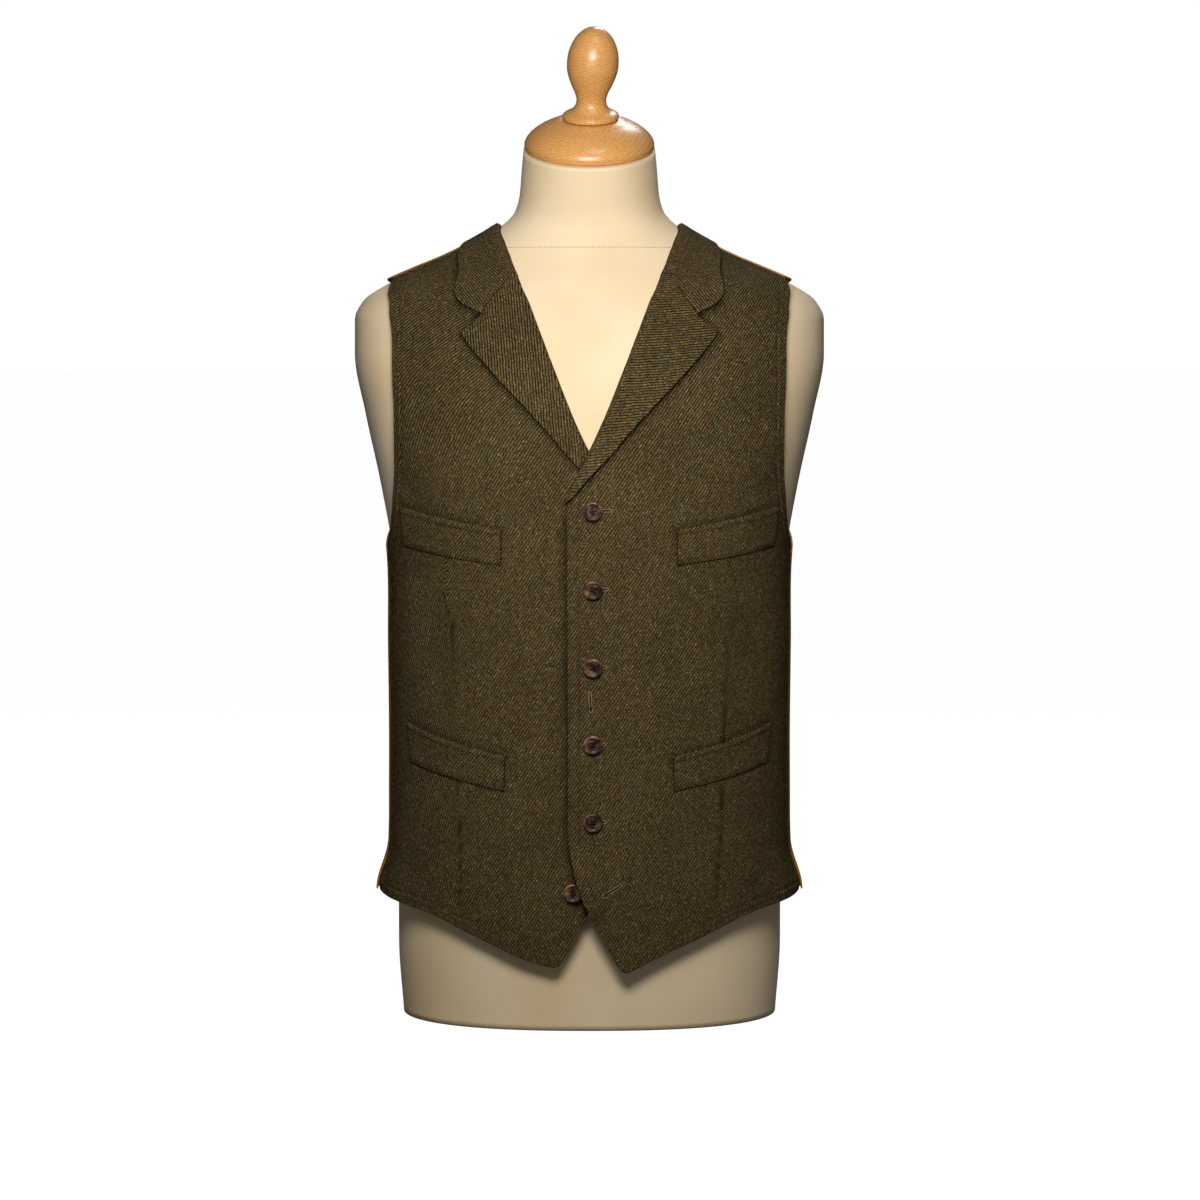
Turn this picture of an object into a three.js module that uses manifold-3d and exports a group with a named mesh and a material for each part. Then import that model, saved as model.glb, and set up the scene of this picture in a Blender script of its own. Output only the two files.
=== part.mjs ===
// A six-button suit waistcoat worn on a limbless tailor's form with a turned beech cap.
// Millimetres, +Z up, the front of the garment towards -Y and the wearer's left towards +X.
// The origin is the middle of the form's flat underside.
//
// The form is a stack of rounded sections. A point on it is given by an angle round the body,
// 0 at the centre front and 180 at the centre back, and by the height of its section.
// Every cloth piece is a thin wall drawn on that surface and moved out by its ease and its layer.
import * as THREE from "three";
import Module from "manifold-3d";
import { mergeVertices } from "three/addons/utils/BufferGeometryUtils.js";

const wasm = await Module();
wasm.setup();

// Driving dimensions
const SEAM_GAP = 0.35; // between pieces that are sewn edge to edge
const LAYER_GAP = 0.5; // between pieces that lie on each other
const SLACK = 0.35; // extra between a turned lapel and the front below it
const FRONT_CLOTH = 2.2; // tweed, canvas and lining of the fronts
const BACK_CLOTH = 1.2; // two layers of satin
const LAPEL_CLOTH = 2.0;
const WELT_CLOTH = 1.7;
const BUTTON = { radius: 7.7, height: 3.2, holeRadius: 0.95, holePitch: 1.75, line: 3.3 };
const BUTTON_TOP = 424.5; // height of the top button
const BUTTON_SPACING = 62.8;
const BUTTONS_FASTENED = 5;
const LOOSE_BUTTON = { x: -13.4, z: 116 }; // the sixth, left undone on the under front
const SHOULDER_SEAM = 76.5; // angle of the shoulder seam, a little in front of the ridge
const SIDE_SEAM = 76; // angle of the side seam
const VENT_TOP = 139; // height where the side seam ends in a short vent
const CAP_TILT = 18.5; // degrees that the neck top and its cap lean forward
const FINIAL_LEAN = 2.3; // degrees that the finial leans to the wearer's left

// The form, a row for each section: half width, front and back faces, where it is widest, squareness
const FORM = [
  { z: 0, half: 156, front: -106, back: 112, middle: 4, square: 2.35 },
  { z: 60, half: 160, front: -108, back: 116, middle: 5, square: 2.35 },
  { z: 110, half: 160, front: -110, back: 112, middle: 5, square: 2.35 },
  { z: 170, half: 157, front: -111, back: 101, middle: 3, square: 2.35 },
  { z: 235, half: 155, front: -112, back: 94, middle: 1, square: 2.35 },
  { z: 310, half: 158, front: -117, back: 98, middle: 0, square: 2.4 },
  { z: 387, half: 164, front: -123, back: 108, middle: 0, square: 2.4 },
  { z: 440, half: 173, front: -125, back: 115, middle: 1, square: 2.4 },
  { z: 500, half: 186, front: -120, back: 118, middle: 3, square: 2.35 },
  { z: 550, half: 195, front: -106, back: 114, middle: 5, square: 2.25 },
  { z: 578, half: 195, front: -92, back: 107, middle: 6, square: 2.15 },
  { z: 594, half: 187, front: -82, back: 100, middle: 6, square: 2.1 },
  { z: 606, half: 169, front: -74, back: 94, middle: 6, square: 2.05 },
  { z: 617, half: 146, front: -66, back: 88, middle: 6, square: 2.0 },
  { z: 629, half: 118, front: -58, back: 82, middle: 6, square: 2.0 },
  { z: 643, half: 91, front: -52, back: 76, middle: 6, square: 2.0 },
  { z: 654, half: 74, front: -49, back: 70, middle: 5, square: 2.0 },
  { z: 666, half: 62, front: -51, back: 63, middle: 3, square: 2.0 },
  { z: 680, half: 57.8, front: -55, back: 57, middle: 0, square: 2.0 },
  { z: 700, half: 56, front: -60, back: 50, middle: -5.5, square: 2.0 },
  { z: 717.5, half: 54.3, front: -64, back: 45, middle: -9.5, square: 2.0 },
];

// How much each section leans down towards the front, as a slope
const LEAN = [
  { z: 640, slope: 0 },
  { z: 655, slope: 0.03 },
  { z: 685, slope: 0.14 },
  { z: 717.5, slope: Math.tan(THREE.MathUtils.degToRad(CAP_TILT)) },
];

// Ease: how far the outer face of the cloth stands off the form at the front, side and back
const EASE = [
  { z: 50, front: 15, side: 10, back: 12 },
  { z: 110, front: 14, side: 9.5, back: 13 },
  { z: 235, front: 10, side: 12.5, back: 12 },
  { z: 310, front: 8, side: 10, back: 9 },
  { z: 387, front: 6.5, side: 5, back: 5 },
  { z: 450, front: 5.5, side: 4, back: 3.4 },
  { z: 520, front: 4.7, side: 3.4, back: 3.4 },
  { z: 578, front: 4.1, side: 4.4, back: 4.6 },
  { z: 598, front: 3.8, side: 4.6, back: 4.8 },
  { z: 625, front: 3.4, side: 3.5, back: 3.5 },
  { z: 660, front: 3.2, side: 3.2, back: 3.2 },
];

// Soft hollows and swells in the worn cloth: angle and height of the middle, size across and
// along, lean of the long axis in degrees, depth (inwards is negative)
const FOLDS = [
  { angle: -46, z: 312, across: 26, along: 62, lean: 8, depth: -3.2 },
  { angle: 48, z: 306, across: 28, along: 58, lean: -8, depth: -3.0 },
  { angle: -52, z: 440, across: 16, along: 24, lean: 30, depth: -1.8 },
  { angle: 53, z: 442, across: 16, along: 24, lean: -30, depth: -1.8 },
  { angle: -37, z: 150, across: 20, along: 70, lean: 0, depth: -1.6 },
  { angle: 36, z: 150, across: 22, along: 70, lean: 0, depth: -1.5 },
  { angle: -62, z: 130, across: 18, along: 50, lean: 0, depth: 1.4 },
  { angle: 63, z: 128, across: 18, along: 50, lean: 0, depth: 1.6 },
  { angle: 151, z: 250, across: 14, along: 95, lean: 6, depth: -2.6 },
  { angle: -149, z: 244, across: 14, along: 95, lean: -6, depth: -2.4 },
  { angle: 118, z: 262, across: 15, along: 80, lean: 10, depth: -2.0 },
  { angle: -120, z: 268, across: 15, along: 80, lean: -10, depth: -2.0 },
];
const FOLD_ARC = 165; // mm of cloth round the body in one radian
const NECK_ARC = 56; // the same at the neck end of the shoulder seam
const SIDE_ARC = 115; // and at the side seam

// Outlines on the +X side, from the photograph's front view: x across, z height
const ROLL_LINE = [
  { x: 74.5, z: 641 },
  { x: 63.5, z: 615 },
  { x: 52.6, z: 590 },
  { x: 41.8, z: 563 },
  { x: 30.6, z: 535 },
  { x: 18.5, z: 505 },
  { x: 5.8, z: 477 },
];
const NECK_POINT = { angle: SHOULDER_SEAM, z: 652.5 };
const SHOULDER_POINT = { angle: SHOULDER_SEAM, z: 609.5 };
const OVER_BREAK = { x: -17.5, z: 432 }; // where the lapel starts to turn, on the upper front
const UNDER_BREAK = { x: -20, z: 432 }; // the same on the under front, before it is mirrored
const OVER_EDGE = [
  { x: -18, z: 420 },
  { x: -18.2, z: 300 },
  { x: -18, z: 175 },
  { x: -17, z: 156 },
  { x: -14, z: 138 },
  { x: -8.4, z: 118.5 },
  { x: 0.8, z: 97 },
  { x: 12.5, z: 76 },
];
const UNDER_EDGE = [
  { x: -22, z: 420 },
  { x: -22, z: 300 },
  { x: -21, z: 175 },
  { x: -18.5, z: 156 },
  { x: -14.5, z: 138 },
  { x: -8.6, z: 119 },
  { x: 0.8, z: 98 },
  { x: 11.5, z: 79 },
];
const OVER_TIP = { x: 27.8, z: 49 };
const UNDER_TIP = { x: 26, z: 53.5 };
const TIP_RADIUS = 8;
const HEM = [
  { x: 52, z: 60.5 },
  { x: 90, z: 76.5 },
  { x: 130, z: 93 },
];
const SIDE_CORNER = { angle: SIDE_SEAM, z: 105 };
const SIDE_CORNER_RADIUS = 4;
const ARMHOLE = [
  { x: 167, z: 601 },
  { x: 165.8, z: 591 },
  { x: 164.5, z: 580 },
  { x: 161, z: 544 },
  { x: 159.5, z: 512 },
  { x: 159, z: 480 },
  { x: 160, z: 447 },
  { x: 161.5, z: 424 },
  { x: 164, z: 402 },
];
const ARMPIT = { angle: SIDE_SEAM, z: 385 };
const LAPEL_EDGE = [
  { x: 87.5, z: 543 },
  { x: 70, z: 524 },
  { x: 52, z: 506 },
  { x: 35, z: 488 },
  { x: 17, z: 467 },
  { x: 2, z: 452 },
];
const LAPEL_CORNER = { x: 104.5, z: 563.5 };
const NOTCH = { x: 87.6, z: 578.6 };
const GORGE_TOP = 610; // height where the gorge seam meets the roll line
const COLLAR_CORNER = { x: 107, z: 588 };
const COLLAR_EDGE = [
  { x: 108, z: 626 },
  { x: 107.5, z: 610 },
];
const COLLAR_AT_SEAM = { angle: SHOULDER_SEAM, z: 636 };

// The back, drawn on the +X half: angle round the body, or x across, and height
const NAPE_HEIGHT = 650;
const BACK_NECK = [
  { angle: 150, z: 650.5 },
  { angle: 120, z: 652 },
  { angle: 98, z: 653.5 },
];
const BACK_ARMHOLE = [
  { x: 166.5, z: 603 },
  { x: 165, z: 591 },
  { x: 163, z: 573 },
  { x: 162, z: 545 },
  { x: 160, z: 510 },
  { x: 161, z: 472 },
  { x: 163, z: 438 },
  { x: 166.5, z: 408 },
];
const BACK_ARMHOLE_SHARE = 0.46; // of the panel's height
const BACK_HEM = [
  { angle: 100, z: 103 },
  { angle: 140, z: 99 },
];
const BACK_HEM_CENTRE = 98;
const VENT_FLARE = { front: 8, back: 10, reach: 26 }; // mm out at the lower corners, and degrees round

// Pocket welts: three points along each long edge, x across and z height
const UPPER_WELT = {
  top: [{ x: 70.5, z: 409 }, { x: 112, z: 416.5 }, { x: 153, z: 426 }],
  foot: [{ x: 70.8, z: 380.5 }, { x: 112, z: 386 }, { x: 150, z: 394 }],
};
const LOWER_WELT = {
  top: [{ x: 70, z: 225.5 }, { x: 112, z: 235.5 }, { x: 149, z: 249 }],
  foot: [{ x: 70.5, z: 197 }, { x: 112, z: 205.5 }, { x: 146, z: 216 }],
};

// Turned caps: radius and height of the outline
const CAP_OUTLINE = [
  { r: 0, h: 0.4 },
  { r: 51.5, h: 0.4 },
  { r: 53.3, h: 1.8 },
  { r: 53.7, h: 4.5 },
  { r: 52.6, h: 8 },
  { r: 50, h: 11.6 },
  { r: 46, h: 15.2 },
  { r: 40.5, h: 18.9 },
  { r: 33.2, h: 22.4 },
  { r: 24, h: 25.6 },
  { r: 0, h: 25.6 },
];
const FINIAL_OUTLINE = [
  { r: 0, h: 26 },
  { r: 22, h: 26 },
  { r: 23.2, h: 27.2 },
  { r: 23, h: 29.4 },
  { r: 21, h: 31 },
  { r: 17, h: 33 },
  { r: 14.2, h: 35.6 },
  { r: 12.6, h: 38.8 },
  { r: 12.2, h: 42 },
  { r: 13.4, h: 47 },
  { r: 16.6, h: 54 },
  { r: 19.5, h: 61.5 },
  { r: 21, h: 68 },
  { r: 21.2, h: 73 },
  { r: 20.6, h: 80 },
  { r: 18.6, h: 87 },
  { r: 15, h: 94 },
  { r: 10.2, h: 99 },
  { r: 5, h: 102 },
  { r: 0, h: 102.8 },
];

// Mesh fineness
const GRID = {
  collarRows: 8, // rows of the front beside the collar, then beside the lapel, then below it
  lapelRows: 13,
  edgeRows: 13,
  frontColumns: 16,
  back: { across: 16, armholeRows: 16, seamRows: 12 },
  lapelColumns: 8,
  welt: { across: 8, down: 3 },
  formRound: 36,
  turned: 24,
  button: 16,
};

const { degToRad, smoothstep, lerp } = THREE.MathUtils;

// A smooth curve through a table's rows that never overshoots them
function curveThrough(xs, ys) {
  const last = xs.length - 1;
  const gap = xs.slice(1).map((x, i) => x - xs[i]);
  const rise = gap.map((g, i) => (ys[i + 1] - ys[i]) / g);
  const slope = ys.map((_, i) => {
    if (i === 0 || i === last) return rise[i === 0 ? 0 : last - 1];
    if (rise[i - 1] * rise[i] <= 0) return 0;
    const before = 2 * gap[i] + gap[i - 1];
    const after = gap[i] + 2 * gap[i - 1];
    return (before + after) / (before / rise[i - 1] + after / rise[i]);
  });
  return (x) => {
    const t = Math.min(Math.max(x, xs[0]), xs[last]);
    let i = 0;
    while (i < last - 1 && t > xs[i + 1]) i++;
    const s = (t - xs[i]) / gap[i];
    return (
      (2 * s ** 3 - 3 * s ** 2 + 1) * ys[i] +
      (s ** 3 - 2 * s ** 2 + s) * gap[i] * slope[i] +
      (3 * s ** 2 - 2 * s ** 3) * ys[i + 1] +
      (s ** 3 - s ** 2) * gap[i] * slope[i + 1]
    );
  };
}

const columnOf = (table, name) =>
  curveThrough(table.map((row) => row.z), table.map((row) => row[name]));

const form = Object.fromEntries(
  ["half", "front", "back", "middle", "square"].map((name) => [name, columnOf(FORM, name)]),
);
const lean = columnOf(LEAN, "slope");
const ease = Object.fromEntries(
  ["front", "side", "back"].map((name) => [name, columnOf(EASE, name)]),
);

// The form's surface at an angle in radians and a height
function formPoint(angle, z) {
  const power = form.square(z);
  const s = Math.sin(angle);
  const c = Math.cos(angle);
  const round = (Math.abs(s) ** power + Math.abs(c) ** power) ** (1 / power);
  const middle = form.middle(z);
  const depth = c > 0 ? middle - form.front(z) : form.back(z) - middle;
  const y = middle - (depth * c) / round;
  return new THREE.Vector3((form.half(z) * s) / round, y, z + lean(z) * (y - middle));
}

function formNormal(angle, z) {
  const turn = 1e-3;
  const rise = 0.3;
  const round = formPoint(angle + turn, z).sub(formPoint(angle - turn, z));
  const up = formPoint(angle, z + rise).sub(formPoint(angle, z - rise));
  return round.cross(up).normalize();
}

function foldDepth(angle, z) {
  return FOLDS.reduce((sum, fold) => {
    const tilt = degToRad(fold.lean);
    const right = FOLD_ARC * (angle - degToRad(fold.angle));
    const up = z - fold.z;
    const across = (right * Math.cos(tilt) + up * Math.sin(tilt)) / fold.across;
    const along = (up * Math.cos(tilt) - right * Math.sin(tilt)) / fold.along;
    return sum + fold.depth * Math.exp(-(across ** 2) - along ** 2);
  }, 0);
}

// A point of the worn cloth, at a layer height above its usual outer face
function clothPoint([angle, z], layer) {
  const front = Math.max(Math.cos(angle), 0) ** 2;
  const back = Math.max(-Math.cos(angle), 0) ** 2;
  const side = Math.sin(angle) ** 2;
  const off = ease.front(z) * front + ease.side(z) * side + ease.back(z) * back;
  return formPoint(angle, z).addScaledVector(
    formNormal(angle, z),
    off + foldDepth(angle, z) + layer,
  );
}

// The angle at which the front of the cloth has a given x
function angleAt(x, z) {
  const share = Math.min(Math.abs(x) / (form.half(z) + ease.side(z)), 0.99999);
  if (share < 1e-6) return 0;
  const power = form.square(z);
  return Math.sign(x) * Math.atan((share ** -power - 1) ** (-1 / power));
}

function xAt(angle, z) {
  const power = form.square(z);
  const s = Math.sin(angle);
  const round = (Math.abs(s) ** power + Math.abs(Math.cos(angle)) ** power) ** (1 / power);
  return ((form.half(z) + ease.side(z)) * s) / round;
}

const onCloth = (p) => [p.angle === undefined ? angleAt(p.x, p.z) : degToRad(p.angle), p.z];

// A smooth path through outline points, as a function of the share of its length
function pathThrough(points) {
  const at = points.map(([angle, z]) => [angle * FOLD_ARC, z]);
  const along = [0];
  for (let i = 1; i < at.length; i++)
    along.push(along[i - 1] + Math.hypot(at[i][0] - at[i - 1][0], at[i][1] - at[i - 1][1]));
  const total = along[along.length - 1];
  const share = along.map((a) => a / total);
  const angle = curveThrough(share, points.map((p) => p[0]));
  const z = curveThrough(share, points.map((p) => p[1]));
  return (t) => [angle(t), z(t)];
}

// Two paths end to end, the first taking the given share of the parameter
const joined = (first, second, share) => (t) =>
  t <= share ? first(t / share) : second((t - share) / (1 - share));

// The arc that rounds a corner, from the side before it to the side after it
function cornerArc(before, corner, after, radius, steps = 4) {
  const flat = ([angle, z]) => new THREE.Vector2(angle * FOLD_ARC, z);
  const middle = flat(corner);
  const back = flat(before).sub(middle).normalize();
  const on = flat(after).sub(middle).normalize();
  const half = Math.acos(back.dot(on)) / 2;
  const reach = radius / Math.tan(half);
  return Array.from({ length: steps + 1 }, (_, i) => {
    const t = i / steps;
    const p = middle
      .clone()
      .addScaledVector(back, reach * (1 - t) ** 2)
      .addScaledVector(on, reach * t ** 2);
    return [p.x / FOLD_ARC, p.y];
  });
}

// A four-sided patch between its edges: u runs from the inner to the outer edge, v downwards.
// It is blended in angle and height, or in another pair of measures and back again.
const unchanged = (p) => p;

function patch(edges, flat = unchanged, round = unchanged) {
  const [top, bottom, inner, outer] = ["top", "bottom", "inner", "outer"].map(
    (name) => (t) => flat(edges[name](t)),
  );
  const corners = [top(0), top(1), bottom(0), bottom(1)];
  const blend = (u, v) =>
    [0, 1].map(
      (k) =>
        (1 - v) * top(u)[k] +
        v * bottom(u)[k] +
        (1 - u) * inner(v)[k] +
        u * outer(v)[k] -
        (1 - u) * (1 - v) * corners[0][k] -
        u * (1 - v) * corners[1][k] -
        (1 - u) * v * corners[2][k] -
        u * v * corners[3][k],
    );
  return (u, v) => round(blend(u, v));
}

// A closed wall from two grids of points, its outer and inner faces, joined round the rim
function wallGeometry(outer, inner) {
  const rows = outer.length;
  const columns = outer[0].length;
  const points = [...outer.flat(), ...inner.flat()];
  const at = (side, j, i) => side * rows * columns + j * columns + i;
  const faces = [];
  const quad = (a, b, c, d) => faces.push(a, b, c, a, c, d);
  for (let j = 0; j < rows - 1; j++)
    for (let i = 0; i < columns - 1; i++) {
      const cell = (side) => [[j, i], [j, i + 1], [j + 1, i + 1], [j + 1, i]].map((p) => at(side, ...p));
      const [a, b, c, d] = cell(0);
      const shortest = points[a].distanceTo(points[c]) <= points[b].distanceTo(points[d]) ? 0 : 1;
      for (const side of [0, 1]) {
        const corners = cell(side);
        if (shortest === 1) corners.push(corners.shift());
        quad(...(side === 0 ? corners : corners.reverse()));
      }
    }
  const rim = [];
  for (let i = 0; i < columns - 1; i++) rim.push([0, i]);
  for (let j = 0; j < rows - 1; j++) rim.push([j, columns - 1]);
  for (let i = columns - 1; i > 0; i--) rim.push([rows - 1, i]);
  for (let j = rows - 1; j > 0; j--) rim.push([j, 0]);
  rim.forEach(([j, i], k) => {
    const [nj, ni] = rim[(k + 1) % rim.length];
    quad(at(0, j, i), at(1, j, i), at(1, nj, ni), at(0, nj, ni));
  });
  return facingOut(points, faces);
}

// Builds the geometry, turning its faces round when they point inwards
function facingOut(points, faces) {
  let volume = 0;
  for (let i = 0; i < faces.length; i += 3) {
    const [a, b, c] = [points[faces[i]], points[faces[i + 1]], points[faces[i + 2]]];
    volume += a.dot(b.clone().cross(c));
  }
  const index = volume >= 0 ? faces : faces.slice().reverse();
  const geometry = new THREE.BufferGeometry().setFromPoints(points);
  geometry.setIndex(index);
  geometry.computeVertexNormals();
  return geometry;
}

const cloth = (color) => new THREE.MeshStandardMaterial({ color, roughness: 0.92, metalness: 0 });
const MATERIALS = {
  twill: cloth("#4b4029"),
  satin: new THREE.MeshStandardMaterial({ color: "#8a5a14", roughness: 0.4, metalness: 0 }),
  jersey: cloth("#f0dcbb"),
  beech: new THREE.MeshStandardMaterial({ color: "#d29652", roughness: 0.32, metalness: 0 }),
  horn: new THREE.MeshStandardMaterial({ color: "#4a3024", roughness: 0.3, metalness: 0 }),
};

const waistcoatOnForm = new THREE.Group();

function addMesh(name, geometry, material) {
  const mesh = new THREE.Mesh(geometry, material);
  mesh.name = name;
  waistcoatOnForm.add(mesh);
  return mesh;
}

const spread = (count) => Array.from({ length: count + 1 }, (_, i) => i / count);
const mirrored = ([angle, z]) => [-angle, z];

// Lays a patch on the cloth as a wall, between two layer heights that may vary over it
function addPanel(name, material, area, grid, side, outerLayer, innerLayer) {
  const us = grid.us ?? spread(grid.across);
  const vs = grid.vs ?? spread(grid.down);
  const face = (layer) =>
    vs.map((v) =>
      us.map((u) => {
        const place = side > 0 ? area(u, v) : mirrored(area(u, v));
        return clothPoint(place, layer(place, u, v));
      }),
    );
  return addMesh(name, wallGeometry(face(outerLayer), face(innerLayer)), material);
}

// Where the upper front rides over the under front, its lapel and its loose button
function overLift([angle, z]) {
  const x = Math.cos(angle) > 0 ? xAt(angle, z) : Infinity;
  const stack = LAYER_GAP + 0.15 + FRONT_CLOTH;
  const lapelStack = LAYER_GAP + SLACK + LAPEL_CLOTH;
  const overLapel = smoothstep(z, 392, 426) * (1 - smoothstep(z, 488, 545));
  const above = 1 - smoothstep(z, 480, 540);
  const buttonAway = Math.hypot(x - LOOSE_BUTTON.x, z - LOOSE_BUTTON.z);
  const overButton = (BUTTON.height + 1.2) * (1 - smoothstep(buttonAway, 12, 38));
  const near = 1 - smoothstep(x, 26, 84);
  return near * (stack * above + lapelStack * overLapel) + overButton;
}

const flatLayer = () => 0;

// The roll line, where lapel and collar turn back: from the neck to the gorge, then to the break
function rollPaths(breakPoint) {
  const neck = [degToRad(NECK_POINT.angle) - SEAM_GAP / 2 / NECK_ARC, NECK_POINT.z];
  const whole = pathThrough([neck, ...ROLL_LINE.map(onCloth), onCloth(breakPoint)]);
  let share = 0;
  while (whole(share)[1] > GORGE_TOP) share += 0.001;
  return {
    collar: (t) => whole(t * share),
    lapel: (t) => whole(share + t * (1 - share)),
  };
}

// The front's outline: the neck and front edge, the hem, the armhole and side seam
function frontPatch(edge, breakPoint, tip) {
  const { collar, lapel } = rollPaths(breakPoint);
  const { collarRows, lapelRows, edgeRows } = GRID;
  const shoulderInset = SEAM_GAP / 2 / NECK_ARC;
  const shoulder = [degToRad(SHOULDER_POINT.angle) - shoulderInset, SHOULDER_POINT.z];
  const sideInset = SEAM_GAP / 2 / SIDE_ARC;
  const side = (p) => [degToRad(p.angle) - sideInset, p.z];
  const tipArc = cornerArc(onCloth(edge[edge.length - 1]), onCloth(tip), onCloth(HEM[0]), TIP_RADIUS);
  const corner = side(SIDE_CORNER);
  const cornerRound = cornerArc(
    onCloth(HEM[HEM.length - 1]),
    corner,
    [corner[0], corner[1] + 40],
    SIDE_CORNER_RADIUS,
  );
  const roll = joined(collar, lapel, collarRows / (collarRows + lapelRows));
  const rollShare = (collarRows + lapelRows) / (collarRows + lapelRows + edgeRows);
  const frontEdge = pathThrough([onCloth(breakPoint), ...edge.map(onCloth), tipArc[0]]);
  const armhole = pathThrough([shoulder, ...ARMHOLE.map(onCloth), side(ARMPIT)]);
  const seam = pathThrough([side(ARMPIT), cornerRound[cornerRound.length - 1]]);
  return patch({
    top: pathThrough([collar(0), shoulder]),
    bottom: pathThrough([...tipArc, ...HEM.map(onCloth), ...cornerRound]),
    inner: joined(roll, frontEdge, rollShare),
    outer: joined(armhole, seam, 0.46),
  });
}

// Columns are closer near both edges, for the wrap over the under front and the round corners
const frontGrid = {
  us: spread(GRID.frontColumns).map((t) => t - 0.05 * Math.sin(2 * Math.PI * t)),
  vs: spread(GRID.collarRows + GRID.lapelRows + GRID.edgeRows),
};

// The lower corners beside the side seam swing out where the vent opens
function ventFlare([angle, z], far) {
  const low = 1 - smoothstep(z, SIDE_CORNER.z, VENT_TOP + 6);
  const away = Math.abs(Math.abs(angle) - degToRad(SIDE_SEAM));
  return far * low * (1 - smoothstep(away, 0, degToRad(VENT_FLARE.reach)));
}

function addFronts() {
  addPanel(
    "front_left",
    MATERIALS.twill,
    frontPatch(OVER_EDGE, OVER_BREAK, OVER_TIP),
    frontGrid,
    1,
    (place) => overLift(place) + ventFlare(place, VENT_FLARE.front),
    (place) => overLift(place) + ventFlare(place, VENT_FLARE.front) - FRONT_CLOTH,
  );
  addPanel(
    "front_right",
    MATERIALS.twill,
    frontPatch(UNDER_EDGE, UNDER_BREAK, UNDER_TIP),
    frontGrid,
    -1,
    (place) => ventFlare(place, VENT_FLARE.front),
    (place) => ventFlare(place, VENT_FLARE.front) - FRONT_CLOTH,
  );
}

function backPatch() {
  const shoulderInset = SEAM_GAP / 2 / NECK_ARC;
  const sideInset = SEAM_GAP / 2 / SIDE_ARC;
  const neck = [degToRad(NECK_POINT.angle) + shoulderInset, NECK_POINT.z];
  const shoulder = [degToRad(SHOULDER_POINT.angle) + shoulderInset, SHOULDER_POINT.z];
  const centre = (z) => [Math.PI - SEAM_GAP / 2 / form.half(z), z];
  const armpit = [degToRad(ARMPIT.angle) + sideInset, ARMPIT.z];
  const corner = [degToRad(SIDE_CORNER.angle) + sideInset, SIDE_CORNER.z];
  const neckline = pathThrough([centre(NAPE_HEIGHT), ...BACK_NECK.map(onCloth), neck]);
  const shoulderSeam = pathThrough([neck, shoulder]);
  const behind = ({ x, z }) => [Math.PI - angleAt(x, z), z];
  const armhole = pathThrough([shoulder, ...BACK_ARMHOLE.map(behind), armpit]);
  const sideSeam = pathThrough([armpit, corner]);
  const edges = {
    top: joined(neckline, shoulderSeam, 0.5),
    bottom: pathThrough([centre(BACK_HEM_CENTRE), ...BACK_HEM.toReversed().map(onCloth), corner]),
    inner: (t) => centre(lerp(NAPE_HEIGHT, BACK_HEM_CENTRE, t)),
    outer: joined(armhole, sideSeam, BACK_ARMHOLE_SHARE),
  };
  // blended in mm round from the centre back, so that the rows follow the armhole
  const flat = ([angle, z]) => [(Math.PI - angle) * form.half(z), z];
  const round = ([across, z]) => [Math.PI - across / form.half(z), z];
  return patch(edges, flat, round);
}

// Rows are closer where the armhole meets the shoulder and the side seam
function addBacks() {
  const area = backPatch();
  const { across, armholeRows, seamRows } = GRID.back;
  const beside = spread(armholeRows).map((t) => t - 0.085 * Math.sin(2 * Math.PI * t));
  const below = spread(seamRows).slice(1);
  const grid = {
    us: spread(across),
    vs: [
      ...beside.map((t) => BACK_ARMHOLE_SHARE * t),
      ...below.map((t) => lerp(BACK_ARMHOLE_SHARE, 1, t)),
    ],
  };
  const outer = (place) => ventFlare(place, VENT_FLARE.back);
  const inner = (place) => outer(place) - BACK_CLOTH;
  for (const [name, side] of [["back_left", 1], ["back_right", -1]])
    addPanel(name, MATERIALS.satin, area, grid, side, outer, inner);
}

// The turned-back cloth of lapel and collar wraps the front's edge, swells a little at the roll
// and lifts again towards its own edge. Distances are mm from the roll line, heights mm over
// the front's outer face.
function turnedUnderside(distance, share, swell, edgeLift) {
  const roll = swell * Math.exp(-(((distance - 3) / 9) ** 2));
  const slack = SLACK * smoothstep(share, 0, 0.2);
  return LAYER_GAP + slack + roll + edgeLift * smoothstep(share, 0.55, 1);
}

function addTurned(name, side, area, rows, lift, swell, edgeLift) {
  const outer = [];
  const inner = [];
  for (const v of spread(rows)) {
    const place = (u, row = v) => (side > 0 ? area(u, row) : mirrored(area(u, row)));
    const start = place(0);
    const base = lift(start);
    const [before, after] = [Math.max(v - 0.02, 0), Math.min(v + 0.02, 1)];
    const along = clothPoint(place(0, after), 0).sub(clothPoint(place(0, before), 0));
    const away = along.cross(formNormal(...start)).normalize().multiplyScalar(side);
    const edge = (distance, height) =>
      clothPoint(start, base + height).addScaledVector(away, distance);
    const origin = clothPoint(start, 0);
    const underside = (u) => {
      const distance = origin.distanceTo(clothPoint(place(u), 0));
      return turnedUnderside(distance, u, swell(v), edgeLift(v));
    };
    const crest = underside(0) + LAPEL_CLOTH;
    const shares = spread(GRID.lapelColumns);
    outer.push([
      edge(2.5, -FRONT_CLOTH),
      edge(2.7, crest - 2.2),
      edge(1.4, crest - 0.5),
      ...shares.map((u) => clothPoint(place(u), lift(place(u)) + underside(u) + LAPEL_CLOTH)),
    ]);
    inner.push([
      edge(SEAM_GAP + 0.1, -FRONT_CLOTH),
      edge(SEAM_GAP + 0.15, LAYER_GAP),
      edge(SEAM_GAP, underside(0) - 0.1),
      ...shares.map((u) => clothPoint(place(u), lift(place(u)) + underside(u))),
    ]);
  }
  return addMesh(name, wallGeometry(outer, inner), MATERIALS.twill);
}

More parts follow.
